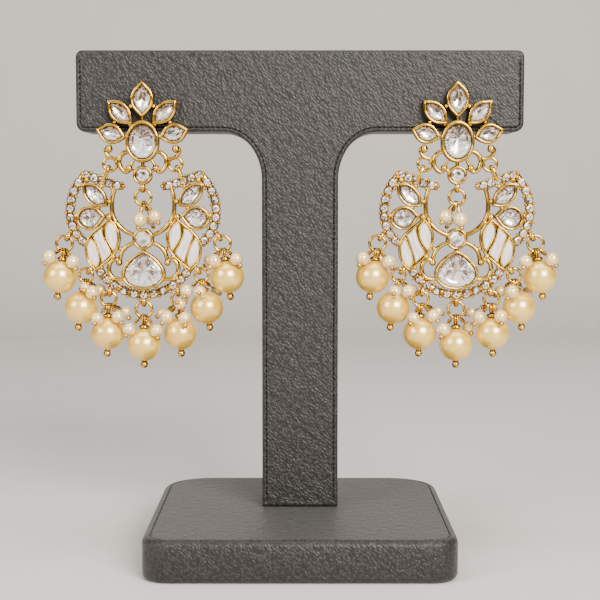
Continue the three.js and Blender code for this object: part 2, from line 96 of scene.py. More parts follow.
# Leatherette: polyurethane on cloth, embossed with a pebble grain, so it has a broken satin sheen.
leatherLook = {
    # crease is painted shade: the dark colour put in the hollows between the pebbles
    "colour": "#242220", "crease": "#121010", "light": "#2d2b29", "rough": 0.46,
    # sizes in mm
    "grain": 0.5, "fine": 0.22, "wrinkle": 1.7, "bend": 2.6, "sway": 0.9, "patch": 9, "depth": 0.1,
    # the pebbles lie in slanting rows about twice as long as wide
    "slant": (0, math.radians(48), math.radians(-30)), "pebble": (1.9, 1.1, 0.9),
}


def makeLeather(look):
    material, add = startTree("embossed_leatherette")
    place = add("TexCoord").outputs["Object"]
    wander = add("TexNoise", {"Vector": place, "Detail": 2.0}, size=look["bend"]).outputs["Color"]
    sway = [look["sway"] * mm] * 3
    bent = add("VectorMath", {0: wander, 1: sway, 2: place}, operation="MULTIPLY_ADD")
    rows = {"Vector": bent, "Rotation": look["slant"], "Scale": look["pebble"]}
    slant = add("Mapping", rows, vector_type="TEXTURE")
    cells = {"Vector": slant, "Smoothness": 0.35, "Randomness": 0.9}
    pebbles = add("TexVoronoi", cells, size=look["grain"], feature="SMOOTH_F1")
    domes = add("MapRange", {0: pebbles, 1: 0.75, 2: 0.1}, interpolation_type="SMOOTHSTEP")
    pores = add("TexNoise", {"Vector": slant, "Detail": 3.0}, size=look["fine"])
    pebbled = add("Math", {0: pores, 1: 0.35, 2: domes}, operation="MULTIPLY_ADD")
    wrinkles = add("TexNoise", {"Vector": slant, "Detail": 2.0}, size=look["wrinkle"])
    relief = add("Math", {0: wrinkles, 1: 3.5, 2: pebbled}, operation="MULTIPLY_ADD")
    bump = add("Bump", {"Strength": 0.7, "Distance": look["depth"] * mm, "Height": relief})
    patches = add("TexNoise", {"Vector": place, "Detail": 3.0}, size=look["patch"])
    tint = add("Mix", {0: patches, 6: look["colour"], 7: look["light"]}, data_type="RGBA").outputs[2]
    # painted shade: darker towards the crease colour between the pebbles, where shade falls in the creases
    colour = add("Mix", {0: domes, 6: look["crease"], 7: tint}, data_type="RGBA").outputs[2]
    gloss = add("MapRange", {0: pores, 1: 0.3, 2: 0.7, 3: look["rough"] - 0.08, 4: look["rough"] + 0.1})
    return finishTree(
        material, IOR=1.5, Specular_IOR_Level=0.4, Sheen_Weight=0.08, Sheen_Roughness=0.5,
        Base_Color=colour, Roughness=gloss, Normal=bump)


# Sewing thread: twisted polyester, dark and matt.
threadLook = {"colour": "#080706", "light": "#191614", "twist": 0.25, "depth": 0.05}  # mm


def makeThread(look):
    material, add = startTree("twisted_polyester_thread")
    place = add("TexCoord").outputs["Object"]
    turns = {"Vector": place, "Distortion": 1.5}
    plies = add("TexWave", turns, size=look["twist"] * 6.28, bands_direction="DIAGONAL").outputs["Fac"]
    colour = add("Mix", {0: plies, 6: look["colour"], 7: look["light"]}, data_type="RGBA").outputs[2]
    gloss = add("MapRange", {0: plies, 3: 0.6, 4: 0.8})
    bump = add("Bump", {"Strength": 0.5, "Distance": look["depth"] * mm, "Height": plies})
    return finishTree(
        material, IOR=1.5, Specular_IOR_Level=0.15, Base_Color=colour, Roughness=gloss, Normal=bump)


# Antique gold: brass alloy cast, polished and gold plated, with brown left in the recesses.
goldLook = {
    # flankShade is painted shade: the dark brown put on the sides of the metal
    "polished": "#efc34c", "warm": "#b58028", "flankShade": "#4a2f0c", "rough": 0.13, "roughFlank": 0.5,
    "cast": 1.6, "skin": 0.3, "depth": 0.01,  # mm
}
patinaLook = dict(goldLook, polished="#5e4217", warm="#33230c", rough=0.4)
roseLook = dict(goldLook, polished="#dfab46", warm="#a06e24", rough=0.2, flankShade="#4f330e")


def makeGold(name, look, shadedFlanks=True):
    material, add = startTree(name)
    coordinates = add("TexCoord")
    place = coordinates.outputs["Object"]
    cloud = add("TexNoise", {"Vector": place, "Detail": 3.0}, size=look["cast"])
    tone = add("ValToRGB", {"Fac": cloud}, [(0.3, look["warm"]), (0.62, look["polished"])])
    rough = add("MapRange", {0: cloud, 1: 0.3, 2: 0.7, 3: look["rough"] + 0.05, 4: look["rough"] - 0.03})
    if shadedFlanks:
        # painted shade: the sides facing neither front nor back are painted dark brown and made rougher,
        # standing in for the shade and dark reflections there, while front and back keep the polished colour
        outward = add("SeparateXYZ", {0: coordinates.outputs["Normal"]}).outputs["Y"]
        reach = add("Math", {0: outward}, operation="ABSOLUTE")
        sideShadeMask = add("MapRange", {0: reach, 1: 0.05, 2: 0.8}, interpolation_type="SMOOTHSTEP")
        tone = add("Mix", {0: sideShadeMask, 6: look["flankShade"], 7: tone}, data_type="RGBA").outputs[2]
        rough = add("Mix", {0: sideShadeMask, 2: look["roughFlank"], 3: rough}, data_type="FLOAT")
    skin = add("TexNoise", {"Vector": place, "Detail": 2.0}, size=look["skin"])
    bump = add("Bump", {"Strength": 0.12, "Distance": look["depth"] * mm, "Height": skin})
    return finishTree(material, Metallic=1.0, Base_Color=tone, Roughness=rough, Normal=bump)


# Foil-backed crystal: pressed lead glass over silver foil; every facet's brightness is painted reflection and
# shade, from dark through grey and peach to white, shifted by painted glints.
crystalLook = {
    "reflectionRamp": [(0.0, "#1f1a17"), (0.2, "#5c544f"), (0.3, "#a97c5a"), (0.4, "#9a8f87"), (0.8, "#ffffff")],
    "paintedGlintSize": 0.9, "flicker": 0.22,  # mm, and how far a painted glint shifts the painted tone of a facet
}


def makeCrystal(look):
    material, add = startTree("foil_backed_crystal")
    place = add("TexCoord").outputs["Object"]
    tone = add("Attribute", attribute_name="facetPaintedLight", attribute_type="GEOMETRY").outputs["Fac"]
    paintedGlints = add("TexNoise", {"Vector": place, "Detail": 1.0}, size=look["paintedGlintSize"])
    mixed = add("Math", {0: paintedGlints, 1: look["flicker"], 2: tone}, operation="MULTIPLY_ADD")
    lowered = add("Math", {0: mixed, 1: look["flicker"] / 2}, operation="SUBTRACT")
    # the painted tone of reflection and shade picks the facet's colour
    colour = add("ValToRGB", {"Fac": lowered}, look["reflectionRamp"])
    gloss = add("MapRange", {0: tone, 3: 0.22, 4: 0.1})
    return finishTree(
        material, IOR=1.55, Metallic=0.5, Coat_Weight=0.7, Coat_Roughness=0.02,
        Base_Color=colour, Roughness=gloss)


# Imitation pearl: a resin bead dipped in pearl essence, soft inside and glossy outside.
pearlLook = {
    "deep": "#e6bb3c", "cream": "#f3d152", "coat": "#fff4cc", "rough": 0.4, "metal": 0.25,
    "glow": 0.08, "glowDepth": 1.2, "cloud": 6, "ripple": 0.8, "depth": 0.01,  # the last four in mm
}
ivoryLook = dict(pearlLook, deep="#e8cb80", cream="#f6dea2", coat="#fff6e4", rough=0.34, metal=0.2)


def makePearl(name, look):
    material, add = startTree(name)
    place = add("TexCoord").outputs["Object"]
    nacre = add("TexNoise", {"Vector": place, "Detail": 1.0}, size=look["cloud"])
    colour = add("ValToRGB", {"Fac": nacre}, [(0.25, look["deep"]), (0.6, look["cream"])])
    ripple = add("TexNoise", {"Vector": place, "Detail": 2.0}, size=look["ripple"])
    gloss = add("MapRange", {0: ripple, 1: 0.3, 2: 0.7, 3: look["rough"] - 0.04, 4: look["rough"] + 0.06})
    bump = add("Bump", {"Strength": 0.08, "Distance": look["depth"] * mm, "Height": ripple})
    return finishTree(
        material, IOR=1.6, Specular_IOR_Level=0.9, Metallic=look["metal"], Subsurface_Weight=look["glow"],
        Subsurface_Scale=look["glowDepth"] * mm, Subsurface_Radius=(1.0, 0.75, 0.45),
        Coat_Weight=1.0, Coat_IOR=2.5, Coat_Roughness=0.22, Coat_Tint=look["coat"],
        Base_Color=colour, Roughness=gloss, Normal=bump)


# Mother-of-pearl enamel: fired smooth and glossy, with soft grey streaks along each leaf.
enamelLook = {"white": "#ebe7e5", "streak": "#bdb6b2", "across": 0.6, "along": 5.0, "depth": 0.03}  # mm


def makeEnamel(look):
    material, add = startTree("mother_of_pearl_enamel")
    along = add("UVMap", uv_map="alongLeaf")
    drawn = add("Mapping", {"Vector": along, "Scale": (1 / look["across"], 1 / look["along"], 1)})
    streaks = add("TexNoise", {"Vector": drawn, "Scale": 1.0, "Detail": 3.0, "Distortion": 0.4})
    colour = add("ValToRGB", {"Fac": streaks}, [(0.3, look["streak"]), (0.62, look["white"])])
    gloss = add("MapRange", {0: streaks, 3: 0.3, 4: 0.18})
    bump = add("Bump", {"Strength": 0.15, "Distance": look["depth"] * mm, "Height": streaks})
    return finishTree(
        material, IOR=1.5, Coat_Weight=0.6, Coat_Roughness=0.05,
        Base_Color=colour, Roughness=gloss, Normal=bump)


# Studio card: painted matt.
cardLook = {"low": "#c9c6c2", "high": "#cfccc8", "speck": 30}  # mm


def makeCard(look):
    material, add = startTree("pale_paper_sweep")
    place = add("TexCoord").outputs["Object"]
    speck = add("TexNoise", {"Vector": place, "Detail": 4.0}, size=look["speck"])
    shade = add("Mix", {0: speck, 6: look["low"], 7: look["high"]}, data_type="RGBA").outputs[2]
    return finishTree(material, Roughness=0.85, Base_Color=shade)


gold = makeGold("polished_antique_gold", goldLook)
patina = makeGold("browned_gold_recess", patinaLook, shadedFlanks=False)
finishes = {
    # kind: materials, slot, and the angle past which an edge is sharp
    "leather": ([makeLeather(leatherLook)], "leatherette", 40),
    "thread": ([makeThread(threadLook)], "leatherette", 80),
    "wire": ([gold], "antique_gold", 50),
    "casting": ([gold, patina], "antique_gold", 50),
    "seats": ([makeGold("pave_rose_gold", roseLook), patina], "antique_gold", 50),
    "stone": ([makeCrystal(crystalLook)], "crystal", 5),
    "pearl": ([makePearl("cream_pearl_lacquer", pearlLook)], "cream_pearl", 80),
    "littlePearl": ([makePearl("ivory_pearl_lacquer", ivoryLook)], "cream_pearl", 80),
    "enamel": ([makeEnamel(enamelLook)], "enamel", 40),
}
print("finishes made")


def toObject(name, bm, materials, centre=(0, 0, 0)):
    # from a bmesh in millimetres about its own centre to a smooth object in metres
    bm.transform(Matrix.Translation(Vector(centre) * mm) @ Matrix.Scale(mm, 4))
    mesh = bpy.data.meshes.new(name)
    bm.to_mesh(mesh)
    bm.free()
    for material in materials:
        mesh.materials.append(material)
    mesh.polygons.foreach_set("use_smooth", [True] * len(mesh.polygons))
    made = bpy.data.objects.new(name, mesh)
    scene.collection.objects.link(made)
    return made


camera = bpy.data.objects.new("camera", bpy.data.cameras.new("camera"))
cameraPlace = {"back": 340.7, "height": 86.4, "down": 4.38, "lens": 84.7}  # mm and degrees
camera.data.lens, camera.data.sensor_width = cameraPlace["lens"], 36
camera.data.clip_start, camera.data.clip_end = 0.01, 10
camera.location = Vector((0, -cameraPlace["back"], cameraPlace["height"])) * mm
camera.rotation_euler = (math.radians(90 - cameraPlace["down"]), 0, 0)
scene.collection.objects.link(camera)
scene.camera = camera

# a pale floor that sweeps up behind
floorSize = {"half": 1500, "back": 500, "curve": 250, "high": 1400, "steps": 8}
bm = bmesh.new()
half, back, curve = floorSize["half"], floorSize["back"], floorSize["curve"]
line = [(-half, 0), (back, 0)]
for step in range(floorSize["steps"]):
    a = math.pi / 2 * (step + 1) / floorSize["steps"]
    line.append((back + curve * math.sin(a), curve * (1 - math.cos(a))))
line.append((back + curve, floorSize["high"]))
verts = [bm.verts.new((-half, y, z)) for y, z in line]
edges = [bm.edges.new(pair) for pair in zip(verts, verts[1:])]
pulled = bmesh.ops.extrude_edge_only(bm, edges=edges)["geom"]
pulled = [g for g in pulled if isinstance(g, bmesh.types.BMVert)]
bmesh.ops.translate(bm, verts=pulled, vec=(2 * half, 0, 0))
bmesh.ops.recalc_face_normals(bm, faces=bm.faces)
floor = toObject("floor_sweep", bm, [makeCard(cardLook)])

lamps = {
    # name: place in metres, size, power, colour
    "right_box": ((0.38, -0.8, 0.48), (0.5, 0.44), 21.0, "#fff8ee"),
    "left_box": ((-0.62, -0.54, 0.42), (0.42, 0.42), 6.0, "#fffaf2"),
    "front_panel": ((0.0, -1.1, 0.4), (1.4, 0.7), 1.5, "#fff8ee"),
    "top": ((0.0, -0.1, 0.8), (0.9, 0.4), 5.0, "#ffffff"),
}
lampTarget = Vector((0, 0, 0.06))
for name, (place, size, power, colour) in lamps.items():
    lamp = bpy.data.lights.new(name, "AREA")
    lamp.shape, lamp.size, lamp.size_y = "RECTANGLE", size[0], size[1]
    lamp.energy, lamp.color = power, toLinear(colour)[:3]
    holder = bpy.data.objects.new(name, lamp)
    holder.location = place
    holder.rotation_euler = (lampTarget - Vector(place)).to_track_quat("-Z", "Y").to_euler()
    scene.collection.objects.link(holder)
scene.world = bpy.data.worlds.new("studio")
scene.world.use_nodes = True
background = scene.world.node_tree.nodes["Background"]
background.inputs["Color"].default_value = toLinear("#c9c9c9")
background.inputs["Strength"].default_value = 0.18
print("camera and light set")


def nodeBoxMm(name):
    low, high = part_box(name)
    return low / mm, high / mm


def finishPiece(name, bm, kind, body="stand_and_studs", replaced=None, centre=(0, 0, 0)):
    # a piece of the earrings or the stand; the facets of a stone are left as they were cut
    materials, slot, crease = finishes[kind]
    if kind != "stone":
        bmesh.ops.remove_doubles(bm, verts=bm.verts, dist=0.002)
        bmesh.ops.recalc_face_normals(bm, faces=bm.faces)
    for edge in bm.edges:
        if edge.calc_face_angle(0) > math.radians(crease):
            edge.smooth = False
    piece = toObject(name, bm, materials, centre)
    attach(piece, body)
    if replaced:
        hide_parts(replaced)


def curveMesh(points, closed=False, corners=(), steps=6, radius=0.0, deep=0.0):
    # a line bent through the points (across, up, forward), bare or as a wire;
    # a point may carry its own two handles
    curve = bpy.data.curves.new("line", "CURVE")
    curve.dimensions, curve.twist_mode = "3D", "Z_UP"
    curve.resolution_u, curve.bevel_resolution = steps, 3
    curve.bevel_depth, curve.extrude = radius, deep
    curve.use_fill_caps = not closed
    spline = curve.splines.new("BEZIER")
    spline.bezier_points.add(len(points) - 1)
    spline.use_cyclic_u = closed
    for index, (knot, point) in enumerate(zip(spline.bezier_points, points)):
        ownHandles = isinstance(point[0], (list, tuple))
        kind = "FREE" if ownHandles else "VECTOR" if index in corners else "AUTO"
        knot.handle_left_type = knot.handle_right_type = kind
        if ownHandles:
            point, before, after = point
            knot.handle_left, knot.handle_right = (*before, 0), (*after, 0)
        knot.co = tuple(point) if len(point) == 3 else (*point, 0)
    holder = bpy.data.objects.new("line", curve)
    scene.collection.objects.link(holder)
    bpy.context.view_layer.update()
    mesh = bpy.data.meshes.new_from_object(holder.evaluated_get(bpy.context.evaluated_depsgraph_get()))
    bpy.data.objects.remove(holder)
    bpy.data.curves.remove(curve)
    return mesh


facing = Matrix.Rotation(math.radians(90), 4, "X")  # (across, up, forward) to (X, Z, -Y)


def wire(bm, points, radius, deep=0.0, place=facing, **options):
    # puts a line or a wire into the bmesh and gives back its new edges
    mesh = curveMesh(points, radius=radius, deep=deep, **options)
    mesh.transform(place)
    before = len(bm.edges)
    bm.from_mesh(mesh)
    bpy.data.meshes.remove(mesh)
    bm.edges.ensure_lookup_table()
    return bm.edges[before:]


def outlineFace(bm, points, y, **options):
    # a flat face bounded by a closed line, standing at depth y
    edges = wire(bm, points, 0, closed=True, place=Matrix.Translation((0, y, 0)) @ facing, **options)
    return bmesh.ops.contextual_create(bm, geom=edges)["faces"][0]


def raiseFace(bm, face, move, keep=True):
    # pulls a new face out of the given one, with walls between them
    grown = bmesh.ops.extrude_face_region(bm, geom=[face], use_keep_orig=keep)["geom"]
    raised = next(g for g in grown if isinstance(g, bmesh.types.BMFace))
    bmesh.ops.translate(bm, verts=list(raised.verts), vec=move)
    return raised


def rollEdges(bm, edges, amount, segments):
    bmesh.ops.bevel(
        bm, geom=edges, offset=amount, offset_type="OFFSET", segments=segments, profile=0.5, affect="EDGES",
        clamp_overlap=True, material=-1)


def absorb(bm, other, material=None):
    for face in other.faces if material is not None else ():
        face.material_index = material
    mesh = bpy.data.meshes.new("part")
    other.to_mesh(mesh)
    other.free()
    bm.from_mesh(mesh)
    bpy.data.meshes.remove(mesh)


def ball(bm, centre, radius, u=12, v=8, scale=(1, 1, 1), turn=None):
    part = bmesh.new()
    place = Matrix.Translation(centre) @ (turn or Matrix()) @ Matrix.Diagonal((*scale, 1))
    bmesh.ops.create_uvsphere(part, u_segments=u, v_segments=v, radius=radius, matrix=place)
    absorb(bm, part)


def spunAbout(part, geom, centre, direction, steps):
    # spins the section round its own upright axis, then stands that axis along the direction
    bmesh.ops.spin(
        part, geom=geom, cent=(0, 0, 0), axis=(0, 0, 1), angle=math.tau, steps=steps, use_merge=True)
    turn = Vector((0, 0, 1)).rotation_difference(Vector(direction)).to_matrix().to_4x4()
    part.transform(Matrix.Translation(centre) @ turn)
    return part


def spinRing(bm, centre, radius, thick, wide=None, axis=(0, 1, 0), steps=24, sides=8):
    # a wire of the given half thickness and half width, bent into a ring about the axis
    part = bmesh.new()
    section = bmesh.ops.create_circle(part, segments=sides, radius=1)["verts"]
    upright = Matrix.Rotation(math.pi / 2, 4, "X") @ Matrix.Diagonal((thick, wide or thick, 1, 1))
    bmesh.ops.transform(part, verts=section, matrix=Matrix.Translation((radius, 0, 0)) @ upright)
    absorb(bm, spunAbout(part, section + list(part.edges), centre, axis, steps))


def turned(bm, profile, centre, direction, steps=16, material=0):
    # a profile of (radius, height) spun round a line that runs in the direction from the centre
    part = bmesh.new()
    verts = [part.verts.new((r, 0, h)) for r, h in profile]
    edges = [part.edges.new(pair) for pair in zip(verts, verts[1:])]
    spunAbout(part, verts + edges, centre, direction, steps)
    bmesh.ops.remove_doubles(part, verts=part.verts, dist=0.001)
    absorb(bm, part, material)


def discProfile(radius, low, high):
    return [(0, low), (radius, low), (radius, high), (0, high)]


def arcPoints(centre, across, up, start, stop, steps):
    # from one angle in degrees to another, on an ellipse
    angles = [math.radians(start + (stop - start) * i / steps) for i in range(steps + 1)]
    return [(centre[0] + across * math.cos(a), centre[1] + up * math.sin(a)) for a in angles]


barLow, barHigh = nodeBoxMm("t_bar_and_column")
baseLow, baseHigh = nodeBoxMm("base")
stand = {
    "barHeight": 19.3, "column": 18.3, "fillet": (9.2, 11.4), "cornerTop": 1.6, "cornerBottom": 2.1,
    "edge": 0.64,
    "seamTop": 2.6, "seamFoot": 1.9,  # where the seam stops under the top edge and above the base
}
barSeam = {
    # the valley: how far in from the rolled edge, its half width and its depth
    "inset": 0.12, "groove": 0.26, "depth": 0.2,
    # the thread: stitch length, spacing, first stitch, half thickness and how deep it lies
    "stitch": 0.9, "pitch": 1.3, "first": 0.4, "thread": 0.2, "sunk": 0.1,
}
base = {"corner": 6.0, "backCorner": 12.0, "edge": 1.5, "seamBand": 5.2}
baseSeam = dict(barSeam, groove=0.16, depth=0.3, stitch=1.0, thread=0.1, sunk=0.22)


def sewSeam(bm, panel, spec, stitches, onSeam, inward):
    # a stitched valley a little inside the edge of the panel
    for width in (spec["inset"], spec["groove"]):
        bmesh.ops.inset_region(bm, faces=[panel], thickness=width, use_even_offset=True)
    path = [v.co.copy() for v in panel.verts]
    for v in panel.verts:
        if onSeam(v.co):
            v.co += inward * spec["depth"]
    valley = list(panel.verts)
    bmesh.ops.inset_region(bm, faces=[panel], thickness=spec["groove"], use_even_offset=True)
    for v, low in zip(panel.verts, valley):
        if onSeam(low.co):
            v.co -= inward * spec["depth"]
    for edge in panel.edges:
        edge.smooth = False
    # short capsules of thread laid end to end along the valley
    travelled, due = 0.0, spec["first"]
    size = (spec["stitch"] / 2, spec["thread"], spec["thread"])
    for a, b in zip(path, path[1:] + path[:1]):
        length = (b - a).length
        while due < travelled + length:
            spot = a.lerp(b, (due - travelled) / length)
            if onSeam(spot):
                turn = Vector((1, 0, 0)).rotation_difference(b - a).to_matrix().to_4x4()
                ball(stitches, spot + inward * spec["sunk"], 1, u=6, v=5, scale=size, turn=turn)
            due += spec["pitch"]
        travelled += length


def standOutline():
    bottom, under, column = barLow.z, barHigh.z - stand["barHeight"], stand["column"] / 2
    across, up = stand["fillet"]
    low, top = stand["cornerBottom"], stand["cornerTop"]
    half = [(column, bottom), (column, bottom + stand["seamFoot"])]
    half += arcPoints((column + across, under - up), across, up, 180, 90, 12)
    half += arcPoints((barHigh.x - low, under + low), low, low, -90, 0, 6)
    half.append((barHigh.x, barHigh.z - stand["seamTop"]))
    half += arcPoints((barHigh.x - top, barHigh.z - top), top, top, 0, 90, 6)
    return half + [(-u, w) for u, w in reversed(half)]


bm = bmesh.new()
back = bm.faces.new([bm.verts.new((u, barHigh.y, w)) for u, w in standOutline()])
raiseFace(bm, back, (0, barLow.y - barHigh.y, 0))
bmesh.ops.recalc_face_normals(bm, faces=bm.faces)
rollEdges(bm, [e for e in bm.edges if abs(e.verts[0].co.y - e.verts[1].co.y) < 0.01], stand["edge"], 4)
seamLow, seamHigh = barLow.z + stand["seamFoot"] - 0.1, barHigh.z - stand["seamTop"] + 0.1
stitches = bmesh.new()
for side in (-1, 1):
    panel = max(bm.faces, key=lambda f: f.calc_area() * (f.normal.y * side > 0.9))
    sewSeam(bm, panel, barSeam, stitches, lambda co: seamLow < co.z < seamHigh, Vector((0, -side, 0)))
finishPiece("bar_and_column_leather", bm, "leather", replaced="t_bar_and_column")

bm = bmesh.new()
size, middle = baseHigh - baseLow, (baseHigh + baseLow) / 2
bmesh.ops.create_cube(bm, size=1, matrix=Matrix.Translation(middle) @ Matrix.Diagonal((*size, 1)))
for corner, side in ((base["corner"], -1), (base["backCorner"], 1)):
    uprights = [e for e in bm.edges if abs(e.verts[0].co.z - e.verts[1].co.z) > 1]
    rollEdges(bm, [e for e in uprights if e.verts[0].co.y * side > 0], corner, 10)
rollEdges(bm, [e for e in bm.edges if abs(e.verts[0].co.z - e.verts[1].co.z) < 0.01], base["edge"], 5)
top = max(bm.faces, key=lambda f: f.calc_area() * (f.normal.z > 0.9))
bandStart = baseHigh.x - base["seamBand"]
sewSeam(bm, top, baseSeam, stitches, lambda co: abs(co.x) > bandStart, Vector((0, 0, -1)))
finishPiece("base_leather", bm, "leather", replaced="base")
finishPiece("stand_stitching", stitches, "thread")
print("stand made")


# from here on, shapes are in millimetres about the middle of each stud's oval stone,
# and the big pearls' middles are at depth 0
def leafPoints(length, width, degrees, centre):
    # two tips, each side one smooth curve between them
    tip, bulge, reach = length / 2, width / 2 * 4 / 3, length / 6
    spin = Matrix.Rotation(math.radians(degrees), 2)
    at = lambda u, w: tuple(spin @ Vector((u, w)) + Vector(centre))
    return [(at(e * tip, 0), at(e * reach, e * bulge), at(e * reach, -e * bulge)) for e in (-1, 1)]


def ringPoints(across, centre, up=None, count=8):
    return arcPoints(centre, across, up or across, 0, 360, count)[:-1]


def mirrored(points, side):
    return [(side * p[0], *p[1:]) for p in points]


def bothSides(points):
    # closes an outline that starts and ends on the middle line
    return points + list(reversed(mirrored(points[1:-1], -1)))


def findSpine(spots):
    # the middle line of a longish outline
    a, b = max(((p, q) for p in spots for q in spots), key=lambda pair: (pair[0] - pair[1]).length_squared)
    axis = (b - a).normalized()
    side = axis.cross(Vector((0, 1, 0)))
    alongs, asides = [p.dot(axis) for p in spots], [p.dot(side) for p in spots]
    half = min(max(asides) - min(asides), max(alongs) - min(alongs)) / 2
    middle = side * (max(asides) + min(asides)) / 2 + Vector((0, spots[0].y, 0))
    return [axis * t + middle for t in (min(alongs) + half, max(alongs) - half)]


def drawnIn(spots, spine, amount):
    # an outline moved evenly towards its middle line, a little more at the tips
    a, b = spine
    line, moved = b - a, []
    for spot in spots:
        flat = Vector((spot.x, a.y, spot.z))
        t = min(1, max(0, (flat - a).dot(line) / max(line.length_squared, 1e-6)))
        to = a + line * t - flat
        steer = to.normalized()
        step = amount * (1 + 0.4 * steer.dot(line.normalized()) ** 2)
        moved.append(spot + steer * min(step, 0.85 * to.length))
    return moved


def drawIn(verts, spine, amount):
    for v, spot in zip(verts, drawnIn([v.co.copy() for v in verts], spine, amount)):
        v.co = spot


def grownOut(points, amount):
    spots = [Vector((u, 0, w)) for u, w in points]
    return [(p.x, p.z) for p in drawnIn(spots, findSpine(spots), -amount)]


def stepIn(bm, face, spine, amount, back=0):
    # a smaller face inside the given one, moved back; gives the faces left round it
    rim = bmesh.ops.inset_region(bm, faces=[face], thickness=0)["faces"]
    drawIn(face.verts, spine, amount)
    bmesh.ops.translate(bm, verts=list(face.verts), vec=(0, back, 0))
    return rim


def makeSetting(bm, points, spec, steps, corners=()):
    # a cast box for a stone: straight flank, browned well, and a round rim laid along the wall
    box = bmesh.new()
    half = spec["wall"] / 2
    face = outlineFace(box, points, spec["back"], corners=corners, steps=steps)
    front = raiseFace(box, face, (0, spec["front"] + half - spec["back"], 0))
    line = [v.co.copy() for v in front.verts]
    spine = findSpine(line)
    stepIn(box, front, spine, spec["wall"])
    well = raiseFace(box, front, (0, spec["well"] - half, 0), keep=False)
    bmesh.ops.delete(box, geom=[front], context="FACES_ONLY")
    for edge in well.edges:
        for side in edge.link_faces:
            side.material_index = 1
    bmesh.ops.recalc_face_normals(box, faces=box.faces)
    absorb(bm, box)
    bends = [(p - line[i - 1]).angle(line[(i + 1) % len(line)] - p) for i, p in enumerate(line)]
    tips = sorted(range(len(line)), key=lambda i: bends[i])[-2:]
    rim = [(p.x, p.z, -spec["front"] - half * 0.92) for p in drawnIn(line, spine, half)]
    wire(bm, rim, half * 1.06, closed=True, corners=tips, steps=1)


stoneCut = {
    "crownTone": (0.52, 0.17), "starTone": (0.48, 0.22),  # painted reflection tones: mean and spread, from 0, dark, to 1
    "fanTone": 0.57, "narrowShade": 0.34, "contrast": 0.8,  # painted tone of the fan, painted shade of its narrow facets, and spread of the painted tones of its sectors
    "narrow": 0.25,  # share of each sector painted dark
    "belt": 0.42, "low": 0,  # width of the belt round the fan, and how far its hub is above the middle
    "arch": 0.2,  # painted shade: how much darker the top is painted, where the foil turns from the light
}
petalStone = dict(
    stoneCut, girdle=-0.62, inset=0.76, body=0.8, crown=0.5, rise=0.42, star=0.3, sink=0.35, sectors=8)
ovalStone = dict(
    stoneCut, girdle=-0.9, inset=0.8, body=1.0, crown=0.72, rise=0.5, star=0.45, sink=0.5, sectors=15,
    low=0.9, arch=0.34, contrast=0.6, belt=1.1, narrow=0.34)
sideStone = dict(
    stoneCut, girdle=-0.66, inset=0.68, body=0.7, crown=0.42, rise=0.42, star=0.25, sink=0.3, sectors=9)
dropStone = dict(
    sideStone, girdle=-0.8, crown=0.9, rise=0.5, star=0.5, sectors=8, low=-0.4, arch=0.26, belt=0.9,
    narrow=0.16, crownTone=(0.56, 0.14), starTone=(0.52, 0.2))


def cutStone(points, spec, steps, seed, corners=()):
    # a girdle, a sloping crown of small facets, and a table that shows the fan of facets behind it; each
    # facet carries a painted tone of reflection and shade
    bm = bmesh.new()
    dice = random.Random(seed)
    layer = bm.faces.layers.float.new("facetPaintedLight")
    face = outlineFace(bm, points, spec["girdle"], corners=corners, steps=steps)
    spine = findSpine([v.co.copy() for v in face.verts])
    drawIn(face.verts, spine, spec["inset"])
    top = raiseFace(bm, face, (0, 0, 0))
    bmesh.ops.translate(bm, verts=list(face.verts), vec=(0, spec["body"], 0))
    for f in bm.faces:
        f[layer] = 0.25
    middle = (spine[0] + spine[1]) / 2

    def angleFrom(face, away):
        out = face.calc_center_median() - away
        return math.atan2(out.z, out.x)

    # a facet's painted tone of reflection, with painted shade growing towards the top
    def setTone(face, tone, away):
        face[layer] = min(1, max(0.05, tone - spec["arch"] * math.sin(angleFrom(face, away))))

    crown = stepIn(bm, top, spine, spec["crown"], -spec["rise"])
    for f in bmesh.ops.poke(bm, faces=crown, offset=spec["rise"] * 0.12)["faces"]:
        setTone(f, dice.gauss(*spec["crownTone"]), middle)
    # the table: a narrow sloping rim, then the fan seen through it
    for f in stepIn(bm, top, spine, spec["star"], spec["sink"] * 0.4):
        setTone(f, dice.gauss(*spec["starTone"]), middle)
    belt = stepIn(bm, top, spine, spec["belt"], spec["sink"] * 0.3)
    fan = bmesh.ops.poke(bm, faces=[top])
    hub = fan["verts"][0]
    hub.co = Vector((middle.x, hub.co.y + spec["sink"] * 0.5, middle.z + spec["low"]))
    # each sector of the fan has a broad facet painted bright and a narrow one painted dark: painted
    # reflection and shade
    for faces, share, turn in ((belt, 1.5, 0.5), (fan["faces"], 1.0, 0.0)):
        count = round(spec["sectors"] * share)
        tones = [0.35 * (k % 2) + 0.65 * dice.random() for k in range(count)]
        for f in faces:
            place = ((angleFrom(f, hub.co) + math.pi) / math.tau * count + turn) % count
            narrowShade = spec["narrowShade"] * (place % 1 < spec["narrow"])
            setTone(f, spec["fanTone"] - narrowShade + (tones[int(place)] - 0.5) * spec["contrast"], hub.co)
    bmesh.ops.recalc_face_normals(bm, faces=bm.faces)
    return bm


brilliant = {
    "back": 0.85, "table": 0.56, "rise": 0.32, "point": 0.1,  # of the radius
    # painted tones of reflection and shade for the crown's facets and the table's facets
    "sideTones": (0.3, 0.55, 0.75, 0.9, 1.0), "topTones": (0.15, 0.45, 0.65, 0.85, 1.0),
}


